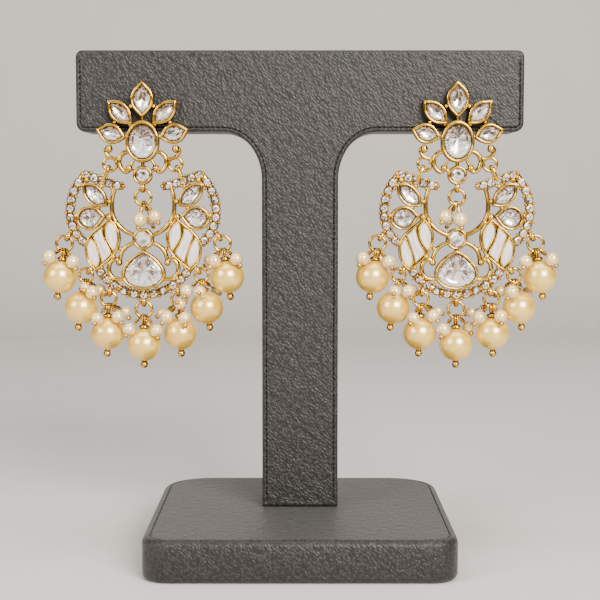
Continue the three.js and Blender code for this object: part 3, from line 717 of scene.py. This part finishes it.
def roundStone(bm, centre, radius, y, seed, layer, body=0.5, dim=0.0):
    # a small brilliant: eight crown facets round a table, each facet painted with a tone of reflection and
    # shade, made darker by dim
    dice = random.Random(seed)
    turn = Matrix.Rotation(dice.uniform(0, math.pi / 4), 4, "Y") @ Matrix.Rotation(math.pi / 2, 4, "X")
    levels = [
        (radius * brilliant["back"], y + body), (radius, y),
        (radius * brilliant["table"], y - radius * brilliant["rise"])]
    loops = []
    for r, depth in levels:
        place = Matrix.Translation((centre[0], depth, centre[1])) @ turn
        loops.append(bmesh.ops.create_circle(bm, segments=8, radius=r, matrix=place)["verts"])
    edges = [e for loop in loops for e in {e for v in loop for e in v.link_edges}]
    third = len(edges) // 3
    for pair in (edges[:third * 2], edges[third:]):
        for f in bmesh.ops.bridge_loops(bm, edges=pair)["faces"]:
            f[layer] = dice.choice(brilliant["sideTones"]) - dim
    table = bm.faces.new(loops[2])
    bm.faces.new(loops[0])[layer] = 0.2
    for f in bmesh.ops.poke(bm, faces=[table], offset=-radius * brilliant["point"])["faces"]:
        f[layer] = dice.choice(brilliant["topTones"]) - dim


drops = {
    # ring centre across and up, ring radius, turn of the loop it hangs in, stub that carries that loop,
    # and the big pearl's place from the ring
    "places": [
        (18.87, -24.2, 1.9, 119, (16.1, -22.1), (1.15, -7.96)),
        (13.85, -31.8, 1.62, 129, (11.25, -30.3), (1.2, -7.78)),
        (8.45, -37.45, 1.8, 101, None, (0.3, -8.32)),
        (0, -40.05, 1.95, 90, None, (0, -8.4)),
    ],
    "order": [(-1, 0), (-1, 1), (-1, 2), (1, 3), (1, 2), (1, 1), (1, 0)],  # side and place of each hanger
    "ring": 0.38, "gap": 0.3, "pearl": 4.0,
    # the head pin's eye: radius, half thickness, half the space between its two turns, distance from the ring
    "eye": (1.08, 0.22, 0.27, 0.38),
    # radius and height of the pin: its top from the ring's edge, then the cap and the end from the pearl
    "pinTop": [(0, 1.1), (0.3, 1.1)],
    "pin": [
        (0.3, -4.95), (0.55, -4.88), (1.05, -4.66), (1.27, -4.38), (1.25, -4.15), (0.95, -3.98), (0.3, -3.95),
        (0.3, 4.05), (0.6, 4.0), (0.74, 4.1), (0.5, 4.26), (0, 4.3)],
    "endBall": (4.8, 0.86),
    # little pearls of each hanger: place from the ring across, up and forward, radius, and for those whose
    # end ball shows, its place across and up
    "left": [
        [(-3.35, -3.0, 1.2, 1.55, -4.4, -4.7), (2.35, -4.2, 2.3, 1.5, 3.1, -5.9), (0.5, -4.0, -3.2, 1.2)],
        [(1.9, -3.85, 2.9, 1.55, 2.6, -5.1), (0.1, -2.7, 2.3, 1.05), (3.0, -3.7, -2.2, 1.5)],
        [(-2.3, -4.4, 2.7, 1.4, -2.7, -5.5), (2.55, -4.1, 2.3, 1.45, 3.5, -5.5),
         (3.9, -3.2, -1.6, 1.3, 4.55, -4.8)],
        [(-3.3, -4.45, 1.6, 1.45, -3.9, -5.9), (3.2, -4.7, 1.8, 1.45, 3.6, -6.6), (0.3, -4.2, -3.2, 1.3)],
        [(-2.8, -4.1, 2.2, 1.45, -4.0, -5.8), (1.6, -4.3, 3.1, 1.45, 1.75, -6.0), (0.35, -1.0, 2.1, 1.3),
         (-4.2, -3.6, -1.6, 1.3)],
        [(-3.5, -3.6, 2.4, 1.45, -3.9, -4.8), (-0.15, -3.75, 3.5, 1.4, -0.2, -3.9), (3.2, -3.9, -2.8, 1.2)],
        [(-1.8, -4.0, 3.0, 1.5, -2.8, -5.5), (3.4, -3.5, 1.2, 1.45, 4.4, -5.1), (-3.2, -4.2, -1.7, 1.4)],
    ],
    "right": [
        [(-3.65, -3.4, 1.0, 1.55, -4.5, -5.0), (2.5, -4.25, 2.2, 1.5, 3.2, -5.7), (0.6, -3.9, -3.3, 1.2)],
        [(-1.1, -3.6, 3.3, 1.35, -1.45, -4.0), (2.2, -3.65, 2.8, 1.5, 2.7, -5.1), (3.5, -3.7, -1.8, 1.3)],
        [(-2.05, -4.35, 2.8, 1.4, -2.8, -5.6), (2.75, -3.9, 2.0, 1.45, 3.8, -5.0), (4.2, -3.1, -1.6, 1.2)],
        [(-3.3, -4.5, 1.6, 1.5, -3.9, -6.5), (3.25, -4.4, -1.6, 1.4, 3.9, -5.9)],
        [(-3.15, -4.25, 1.8, 1.45, -4.2, -5.8), (1.8, -3.9, 3.0, 1.5, 1.9, -5.6), (-4.4, -3.5, -3.4, 1.25)],
        [(-1.0, -3.7, 3.4, 1.55, -2.1, -5.25), (-3.0, -4.0, -2.2, 1.4), (3.7, -4.4, -2.6, 1.3)],
        [(-2.7, -4.15, 2.2, 1.5, -3.3, -5.6), (3.5, -3.55, 1.1, 1.5, 4.5, -5.25), (-0.6, -3.9, -3.3, 1.2)],
    ],
}
beadPin = {
    "lean": 0.62, "pull": 0.4,  # how far round the ring it sits, towards its pearl
    "hook": 0.78, "hookWire": 0.2, "hookDown": 0.25, "wire": 0.17, "start": 1.0, "into": 0.4,
    "laps": (1.18, 1.5, 1.82), "lap": 0.3, "lapWire": 0.18, "endOut": 0.42, "end": 0.57, "swell": 0.08,
}


def littlePearls(metal, beads, ring, cluster, big=None, s=1):
    # every little pearl hangs by a coiled pin of its own that ends in a gold ball
    u, w, radius = ring
    for across, down, forward, r, *end in cluster:
        spot = Vector((u + s * across, -forward, w + down))
        if big:
            # far enough in front or behind to clear the big pearl
            need = (drops["pearl"] + r + drops["gap"]) ** 2 - (spot.x - big.x) ** 2 - (spot.z - big.z) ** 2
            if need > spot.y ** 2:
                spot.y = math.copysign(math.sqrt(need), spot.y)
        lean = math.atan2(s * across, -down - radius * beadPin["pull"]) * beadPin["lean"]
        start = Vector((u + radius * math.sin(lean), 0, w - radius * math.cos(lean)))
        line = (spot - start).normalized()
        tangent = Vector((math.cos(lean), 0, math.sin(lean)))
        axis = tangent - line * tangent.dot(line)
        free = (spot - start).length - r
        hookSpot = start + line * beadPin["hookDown"]
        spinRing(metal, hookSpot, beadPin["hook"], beadPin["hookWire"], axis=axis, steps=14, sides=6)
        pin = discProfile(beadPin["wire"], beadPin["start"], free + beadPin["into"])
        turned(metal, pin, start, line, steps=8)
        for lap in beadPin["laps"]:
            if lap < free + 0.1:
                coil = start + line * lap
                spinRing(metal, coil, beadPin["lap"], beadPin["lapWire"], axis=line, steps=12, sides=6)
        reach = r + beadPin["endOut"]
        beyond = line * reach
        if end:
            flat = Vector((s * (end[0] - across), 0, end[1] - down))
            beyond = flat + Vector((0, -math.sqrt(max(0, reach ** 2 - flat.length_squared)), 0))
        ball(metal, spot + beyond.normalized() * reach, beadPin["end"], u=14, v=10)
        ball(beads, spot, r + beadPin["swell"], u=24, v=16)


def finishPart(name, part, bm, kind, node=None):
    # a piece of the left or the right earring; it mostly adds one word to its node's name
    node = node or part.rsplit("_", 1)[0]
    body = "stand_and_studs" if node.startswith("stud") else name + "_drop"
    finishPiece(f"{name}_{part}", bm, kind, body, f"{name}_{node}", centres[name])


def makeHanger(name, order):
    s, place = drops["order"][order - 1]
    u, w, radius, _, _, to = drops["places"][place]
    ringSpot = Vector((s * u, 0, w))
    hang = Vector((s * to[0], 0, to[1]))
    down, reach = hang.normalized(), hang.length
    metal, beads, pearl = bmesh.new(), bmesh.new(), bmesh.new()
    spinRing(metal, ringSpot, radius, drops["ring"], steps=32, sides=10)
    across = Vector((-down.z, 0, down.x))
    eye, eyeWire, apart, below = drops["eye"]
    for shift in (-apart, apart):
        spot = ringSpot + down * (radius + below) + across * shift
        spinRing(metal, spot, eye, eyeWire, axis=across, steps=20, sides=8)
    pin = [(r, radius + h) for r, h in drops["pinTop"]] + [(r, reach + h) for r, h in drops["pin"]]
    turned(metal, pin, ringSpot, down, steps=20)
    ball(metal, ringSpot + down * (reach + drops["endBall"][0]), drops["endBall"][1], u=18, v=12)
    littlePearls(metal, beads, (s * u, w, radius), drops[name][order - 1], big=ringSpot + hang)
    ball(pearl, ringSpot + hang, drops["pearl"], u=44, v=28)
    finishPart(name, f"hanger_{order}_pins_and_ring", metal, "wire", f"hanger_{order}")
    finishPart(name, f"hanger_{order}_little_pearls", beads, "littlePearl", f"hanger_{order}")
    finishPart(name, f"pearl_{order}_bead", pearl, "pearl")


stud = {
    # the settings: how far back and forward they reach, their wall, and the depth of the well
    "box": {"back": 1.1, "front": -1.1, "wall": 0.62, "well": 0.75},
    "oval": (3.95, 5.0), "ovalBox": {"front": -1.5, "well": 1.1},
    "petals": {
        # length, width, turn and centre
        "top": (8.7, 5.5, 90, (0, 10.0)),
        "upper_left": (8.1, 4.6, 136, (-5.3, 6.9)), "upper_right": (8.1, 4.6, 44, (5.3, 6.9)),
        "lower_left": (7.35, 4.8, 164.5, (-7.45, 1.88)), "lower_right": (7.35, 4.8, 15.5, (7.45, 1.88)),
    },
    "round": (2.27, -7.95), "roundBox": {"back": 0.8, "wall": 0.5, "well": 0.7}, "roundStone": (1.65, -0.72),
    "bridges": [([(0, 4.6), (0, 6.1)], 0.4, 0.3), ([(0, -4.6), (0, -6.2)], 0.45, 0.2)],
    "beads": [(2.75, 8.3, 0.55), (2.9, 4.1, 0.6), (6.6, 4.55, 0.55), (3.95, 1.15, 0.5)],
    "scrolls": [
        # points, half width and extra depth
        ([(3.1, -2.2), (4.5, -2.7), (5.5, -3.95), (5.5, -5.4), (4.8, -6.7), (3.9, -7.15), (3.2, -6.6)],
         0.52, 0.42),
        ([(3.0, -6.6), (1.9, -7.0)], 0.36, 0.2),
        ([(2.85, -5.7), (2.2, -4.4)], 0.34, 0.2),
        ([(7.6, -0.7), (7.9, -1.4)], 0.36, 0.2),
        ([(8.5, -1.5), (8.78, -2.1), (8.45, -3.05), (7.6, -3.75), (6.5, -4.05), (5.5, -3.95)], 0.42, 0.35),
    ],
    # across, depth, up, radius and segments of the balls in the curls
    "curlBalls": [(3.18, -0.75, -6.3, 0.84, 16, 10), (7.95, -0.7, -1.75, 0.93, 18, 12)],
    "sideRing": (7.76, -5.33, 1.58, 0.4),  # across, up, radius and half thickness, as the rings below
    "eyelet": (1.07, 0.24, 0.5), "eyeletUp": -10.85, "pearlRing": (0, -13.25, 1.9, 0.38), "pearlsUp": 0.42,
    "pearls": [(-0.75, -5.65, 1.0, 1.65), (2.9, -4.87, 0.6, 1.5, 3.7, -6.35), (1.6, -6.05, -2.3, 1.2)],
    "postUp": 8.6, "post": [(0, 0.6), (1.3, 0.6), (1.3, 1.0), (0.45, 1.1), (0.45, 5.2), (0, 5.4)],
}


def jumpRing(bm, ring, s=1):
    u, w, radius, thick = ring
    spinRing(bm, (s * u, 0, w), radius, thick, steps=32, sides=10)


def eyelet(bm, u, w, degrees):
    # a cast loop whose hole runs along the jump ring that it holds
    a = math.radians(degrees)
    spinRing(bm, (u, 0, w), *stud["eyelet"], axis=(math.cos(a), 0, math.sin(a)), steps=18, sides=10)


def makeStudFrame():
    bm, box = bmesh.new(), stud["box"]
    ovalRim = ringPoints(stud["oval"][0], (0, 0), stud["oval"][1], count=12)
    makeSetting(bm, ovalRim, dict(box, **stud["ovalBox"]), 6)
    for place in stud["petals"].values():
        makeSetting(bm, leafPoints(*place), box, 28)
    radius, w = stud["round"]
    makeSetting(bm, ringPoints(radius, (0, w)), dict(box, **stud["roundBox"]), 6)
    for points, radius, deep in stud["bridges"]:
        wire(bm, points, radius, deep=deep)
    for s in (-1, 1):
        for u, w, radius in stud["beads"]:
            for y in (-0.35, 0.3):
                ball(bm, (s * u, y, w), radius)
        for points, radius, deep in stud["scrolls"]:
            wire(bm, mirrored(points, s), radius, deep=deep)
        for u, y, w, radius, around, along in stud["curlBalls"]:
            ball(bm, (s * u, y, w), radius, u=around, v=along)
        jumpRing(bm, stud["sideRing"], s)
    eyelet(bm, 0, stud["eyeletUp"], 0)
    turned(bm, stud["post"], (0, 0, stud["postUp"]), (0, 1, 0))
    return bm


sides = {"left": -1, "right": 1}
centres = {}
for name, sign in sides.items():
    ovalLow, ovalHigh = nodeBoxMm(name + "_stud_oval")
    pearlLow, pearlHigh = nodeBoxMm(name + "_pearl_4")
    oval, pearl = (ovalLow + ovalHigh) / 2, (pearlLow + pearlHigh) / 2
    centres[name] = Vector((oval.x, pearl.y, oval.z))
    finishPart(name, "stud_cast_frame", makeStudFrame(), "casting", "stud_frame")
    stones = [("oval", ringPoints(stud["oval"][0], (0, 0), stud["oval"][1]), ovalStone, 6)]
    for petal, place in stud["petals"].items():
        stones.append((petal + "_petal", leafPoints(*place), petalStone, 7))
    for index, (label, points, spec, steps) in enumerate(stones):
        bm = cutStone(points, spec, steps, index + 11 * len(name))
        finishPart(name, f"stud_{label}_stone", bm, "stone")
    bm = bmesh.new()
    radius, front = stud["roundStone"]
    roundStone(bm, (0, stud["round"][1]), radius, front, 5, bm.faces.layers.float.new("facetPaintedLight"))
    finishPart(name, "stud_round_stone", bm, "stone", "stud_frame")
    metal, beads = bmesh.new(), bmesh.new()
    jumpRing(metal, stud["pearlRing"])
    u, w, radius, _ = stud["pearlRing"]
    littlePearls(metal, beads, (u, w + stud["pearlsUp"], radius), stud["pearls"], s=-sign)
    finishPart(name, "stud_pearl_ring", metal, "wire", "stud_frame")
    finishPart(name, "stud_little_pearls", beads, "littlePearl", "stud_frame")
print("studs made")

crescent = {
    "box": {"back": 0.95, "front": -1.15, "wall": 0.55, "well": 0.75}, "dropFront": -1.35,
    # outlines of the settings, and which of their points are corners
    "marquise": ([
        (14.35, -9.85), (12.5, -9.75), (10.9, -10.35), (9.45, -11.65), (8.6, -13.3),
        (8.4, -15.35), (10.5, -15.5), (12.2, -14.95), (13.45, -13.75), (14.2, -12.1)], (0, 5)),
    "pear": ([
        (8.9, -17.75), (10.0, -16.45), (11.3, -15.55), (12.85, -15.25), (14.35, -15.7), (15.55, -16.8),
        (16.0, -18.2), (15.6, -19.55), (14.4, -20.6), (12.95, -21.0), (11.4, -20.55), (10.1, -19.45)], (0,)),
    "teardrop": ([
        (0, -25.8), (2.3, -27.1), (4.05, -28.75), (5.1, -30.45), (5.2, -32.0), (4.6, -33.35), (3.1, -34.55),
        (0, -35.2)], (0,)),
    "round": (2.55, -23.1), "roundStone": (1.95, -0.8),
    "wing": [
        (8.0, -18.3), (6.4, -20.3), (5.7, -22.3), (6.05, -24.9), (6.75, -26.4), (9.75, -29.25),
        (11.35, -30.4), (12.85, -28.9), (13.65, -26.3), (13.45, -24.0), (12.3, -22.0), (10.1, -20.1)],
    "cells": [
        ([(8.05, -19.1), (6.85, -20.6), (6.3, -22.3), (6.55, -24.6), (7.0, -25.7), (8.2, -23.7),
          (8.85, -21.9), (8.75, -20.4)], (0, 4)),
        ([(9.85, -20.65), (9.5, -23.0), (7.75, -26.5), (9.75, -28.45), (10.6, -25.4), (11.75, -22.25)],
         (0, 2, 3, 5)),
        ([(12.4, -23.1), (11.2, -25.8), (10.65, -28.3), (11.25, -29.7), (12.6, -28.2), (13.2, -26.2),
          (13.15, -24.6)], (0, 3)),
    ],
    # half width, extra depth and how far forward: of the wing's frame and of the walls between its leaves
    "wingWire": (0.24, 0.8, 0.1), "cellWire": (0.16, 0.4, 0.4),
    "plate": (0.9, 0.7),  # how far back the wing's thin back lies, and its thickness
    "scrolls": [
        ([(6.7, -11.0), (7.3, -13.2), (7.45, -15.6), (7.15, -17.6), (6.4, -19.1), (5.4, -20.3), (4.0, -21.4),
          (2.2, -22.2)], 0.5),
        ([(1.9, -23.9), (3.3, -24.5), (4.6, -25.5), (5.35, -26.8), (5.7, -28.6)], 0.48),
        ([(5.8, -28.6), (6.6, -27.95), (7.6, -28.4), (8.25, -29.7), (8.2, -31.0), (7.3, -32.3), (5.9, -32.7),
          (4.6, -32.65)], 0.5),
    ],
    "scrollDeep": 0.42,
    "bridges": [([(0, -25.3), (0, -26.8)], 0.5, 0.35), ([(0, -35.0), (0, -36.2)], 0.5, 0.2)],
    "beads": [
        (8.0, -14.2, 0.62), (10.7, -15.75, 0.55), (13.3, -9.05, 0.7), (9.9, -10.6, 0.55),
        (15.95, -17.5, 0.62), (14.35, -10.3, 0.5), (8.1, -17.9, 0.9), (6.65, -19.25, 0.68),
        (5.45, -25.4, 0.5), (7.25, -27.35, 0.75), (10.0, -29.9, 0.5), (13.5, -24.0, 0.5),
        (8.0, -32.5, 0.5), (5.75, -28.75, 0.78)],
    # one half of each bail: along and forward from where it touches the side ring
    "bail": [(-1.04, 0), (-0.74, 0.74), (0, 1.04), (1.2, 1.05), (2.3, 0.9), (3.0, 0.45)],
    "bailTurn": 25, "bailWire": (0.27, 0.17), "stubWire": (0.42, 0.1),
}
bands = {
    # stones along each band, and its ends
    "bar": (
        [(13.4, -7.95), (11.6, -8.6), (9.8, -9.25), (8.05, -9.85), (6.25, -10.4)],
        [(14.35, -7.6), (4.6, -10.6)]),
    "side": ([
        (15.3, -9.75), (16.4, -11.7), (17.1, -13.8), (17.4, -15.9), (17.35, -18.0), (16.85, -20.0),
        (15.9, -21.9), (14.55, -23.55)], [(14.2, -8.3), (13.7, -24.4)]),
    "bottom": [(10.2, -31.2), (8.8, -32.85), (7.0, -34.2), (4.65, -35.5), (2.35, -36.25), (0, -36.5)],
    "bottomEnd": (10.85, -30.3), "strip": 0.95, "flat": 0.55,  # radius of the strip, and its depth as a share
    # radius and height of the seat, then of the browned bed in it
    "seat": [
        (0.5, -0.6), (1.0, -0.6), (1.12, -0.45), (1.12, 0.36), (1.02, 0.54), (0.86, 0.56),
        (0.82, 0.3), (0, 0.25)],
    "bed": (0.96, 0.4, 0.585),
    "stone": (0.86, -0.6, 0.3, 0.14),  # radius, depth, body and how much darker its painted reflections are
    "prong": (0.38, 0.98, -0.62), "endBall": (0.5, -0.45),
}


def addBail(bm, s):
    # a band bent into a long loop that passes through the stud's side ring
    u, w, radius, _ = stud["sideRing"]
    a = math.radians(crescent["bailTurn"])
    along = Vector((s * math.sin(a), 0, -math.cos(a)))
    across = Vector((math.cos(a), 0, s * math.sin(a)))
    spot = Vector((s * u, 0, w)) + along * radius
    place = Matrix.Translation(spot) @ Matrix((along, (0, 1, 0), across)).transposed().to_4x4()
    half = crescent["bail"]
    loop = half + [(t, -y) for t, y in reversed(half[1:])]
    thick, deep = crescent["bailWire"]
    wire(bm, loop, thick, deep=deep, place=place, closed=True)


def makeBand(metal, stones, layer, line, ends, seed):
    # a strip with a scalloped seat, a brilliant and a pair of prong beads for every stone
    flatten = Matrix.Diagonal((1, bands["flat"], 1, 1))
    wire(metal, [ends[0]] + line + ends[1:], bands["strip"], place=flatten @ facing)
    radius, front, body, dim = bands["stone"]
    for index, (u, w) in enumerate(line):
        turned(metal, bands["seat"], (u, 0, w), (0, -1, 0))
        turned(metal, discProfile(*bands["bed"]), (u, 0, w), (0, -1, 0), material=1)
        roundStone(stones, (u, w), radius, front, seed + index, layer, body=body, dim=dim)
    radius, out, front = bands["prong"]
    for a, b in zip(line, line[1:]):
        spot, step = (Vector(a) + Vector(b)) / 2, Vector(b) - Vector(a)
        for aside in (-out, out):
            u, w = spot + step.orthogonal().normalized() * aside
            ball(metal, (u, front, w), radius, u=8, v=6)
    radius, front = bands["endBall"]
    for u, w in ends:
        ball(metal, (u, front, w), radius)


def makeWing(bm, s):
    # a frame with a thin back, and walls between its three leaves
    outline = mirrored(crescent["wing"], s)
    radius, deep, front = crescent["wingWire"]
    wire(bm, [(u, w, front) for u, w in outline], radius, deep=deep, closed=True, corners=(0, 6), steps=5)
    plate = bmesh.new()
    back, thick = crescent["plate"]
    raiseFace(plate, outlineFace(plate, outline, back, corners=(0, 6), steps=5), (0, -thick, 0))
    bmesh.ops.recalc_face_normals(plate, faces=plate.faces)
    absorb(bm, plate)
    radius, deep, front = crescent["cellWire"]
    for points, corners in crescent["cells"]:
        cell = [(u, w, front) for u, w in mirrored(grownOut(points, 0.22), s)]
        wire(bm, cell, radius, deep=deep, closed=True, corners=corners, steps=5)


def makeCrescentFrame():
    bm, box = bmesh.new(), crescent["box"]
    for s in (-1, 1):
        for points, corners in (crescent["marquise"], crescent["pear"]):
            makeSetting(bm, mirrored(points, s), box, 5, corners)
        makeWing(bm, s)
        for points, radius in crescent["scrolls"]:
            wire(bm, mirrored(points, s), radius, deep=crescent["scrollDeep"])
        for u, w, radius in crescent["beads"]:
            ball(bm, (s * u, -0.55, w), radius)
            ball(bm, (s * u, 0.45, w), radius * 0.9)
        addBail(bm, s)
    points, corners = crescent["teardrop"]
    makeSetting(bm, bothSides(points), dict(box, front=crescent["dropFront"]), 5, corners)
    radius, w = crescent["round"]
    makeSetting(bm, ringPoints(radius, (0, w)), box, 6)
    for points, radius, deep in crescent["bridges"]:
        wire(bm, points, radius, deep=deep)
    thick, deep = crescent["stubWire"]
    for s, place in drops["order"]:
        u, w, radius, toward, stub, _ = drops["places"][place]
        a = math.radians(toward)
        spot = Vector((u + radius * math.cos(a), w + radius * math.sin(a)))
        eyelet(bm, s * spot.x, spot.y, s * (toward - 90))
        if stub:
            inner = spot + (Vector(stub) - spot).normalized()
            wire(bm, mirrored([tuple(inner), stub], s), thick, deep=deep)
    return bm


leaf = {"grow": 0.16, "back": 0.25, "thick": 0.9, "cushion": ((0.16, 0.12), (0.3, 0.07))}


def enamelWing(s):
    # three cushioned leaves, each with its streaks running from tip to tip
    bm = bmesh.new()
    leaves = []
    for points, corners in crescent["cells"]:
        before = len(bm.faces)
        outline = mirrored(grownOut(points, leaf["grow"]), s)
        back = outlineFace(bm, outline, leaf["back"], corners=corners, steps=6)
        top = raiseFace(bm, back, (0, -leaf["thick"], 0))
        spine = findSpine([v.co.copy() for v in top.verts])
        for amount, lift in leaf["cushion"]:
            stepIn(bm, top, spine, amount, -lift)
        bm.faces.ensure_lookup_table()
        start, stop = (Vector((s * points[c][0], 0, points[c][1])) for c in corners[:2])
        leaves.append((bm.faces[before:], start, (stop - start).normalized()))
    layer = bm.loops.layers.uv.new("alongLeaf")
    for faces, start, axis in leaves:
        for loop in (loop for f in faces for loop in f.loops):
            place = loop.vert.co - start
            # the second term sets the leaves apart, so that their streaks differ
            loop[layer].uv = (place.x * axis.z - place.z * axis.x, place.dot(axis) + 9 * start.x)
    return bm


for name in sides:
    finishPart(name, "crescent_cast_frame", makeCrescentFrame(), "casting", "crescent_frame")
    metal, stones = bmesh.new(), bmesh.new()
    layer = stones.faces.layers.float.new("facetPaintedLight")
    for s in (-1, 1):
        for band, seed in (("bar", 100), ("side", 300)):
            line, ends = (mirrored(points, s) for points in bands[band])
            makeBand(metal, stones, layer, line, ends, seed + 50 * s)
    line = mirrored(bands["bottom"], -1) + list(reversed(bands["bottom"][:-1]))
    makeBand(metal, stones, layer, line, [*mirrored([bands["bottomEnd"]], -1), bands["bottomEnd"]], 500)
    radius, front = crescent["roundStone"]
    roundStone(stones, (0, crescent["round"][1]), radius, front, 3, layer)
    finishPart(name, "crescent_pave_seats", metal, "seats", "crescent_frame")
    finishPart(name, "crescent_pave_stones", stones, "stone", "crescent_frame")
    for s, side in ((-1, "left"), (1, "right")):
        for index, label in enumerate(("marquise", "pear")):
            points, corners = crescent[label]
            bm = cutStone(mirrored(points, s), sideStone, 4, 20 + 2 * s + index, corners)
            finishPart(name, f"crescent_{side}_{label}_stone", bm, "stone")
        finishPart(name, f"crescent_{side}_enamel_leaves", enamelWing(s), "enamel")
    points, corners = crescent["teardrop"]
    bm = cutStone(bothSides(points), dropStone, 4, 31, corners)
    finishPart(name, "crescent_teardrop_stone", bm, "stone")
    for order in range(1, 8):
        makeHanger(name, order)
print("crescents and drops made")
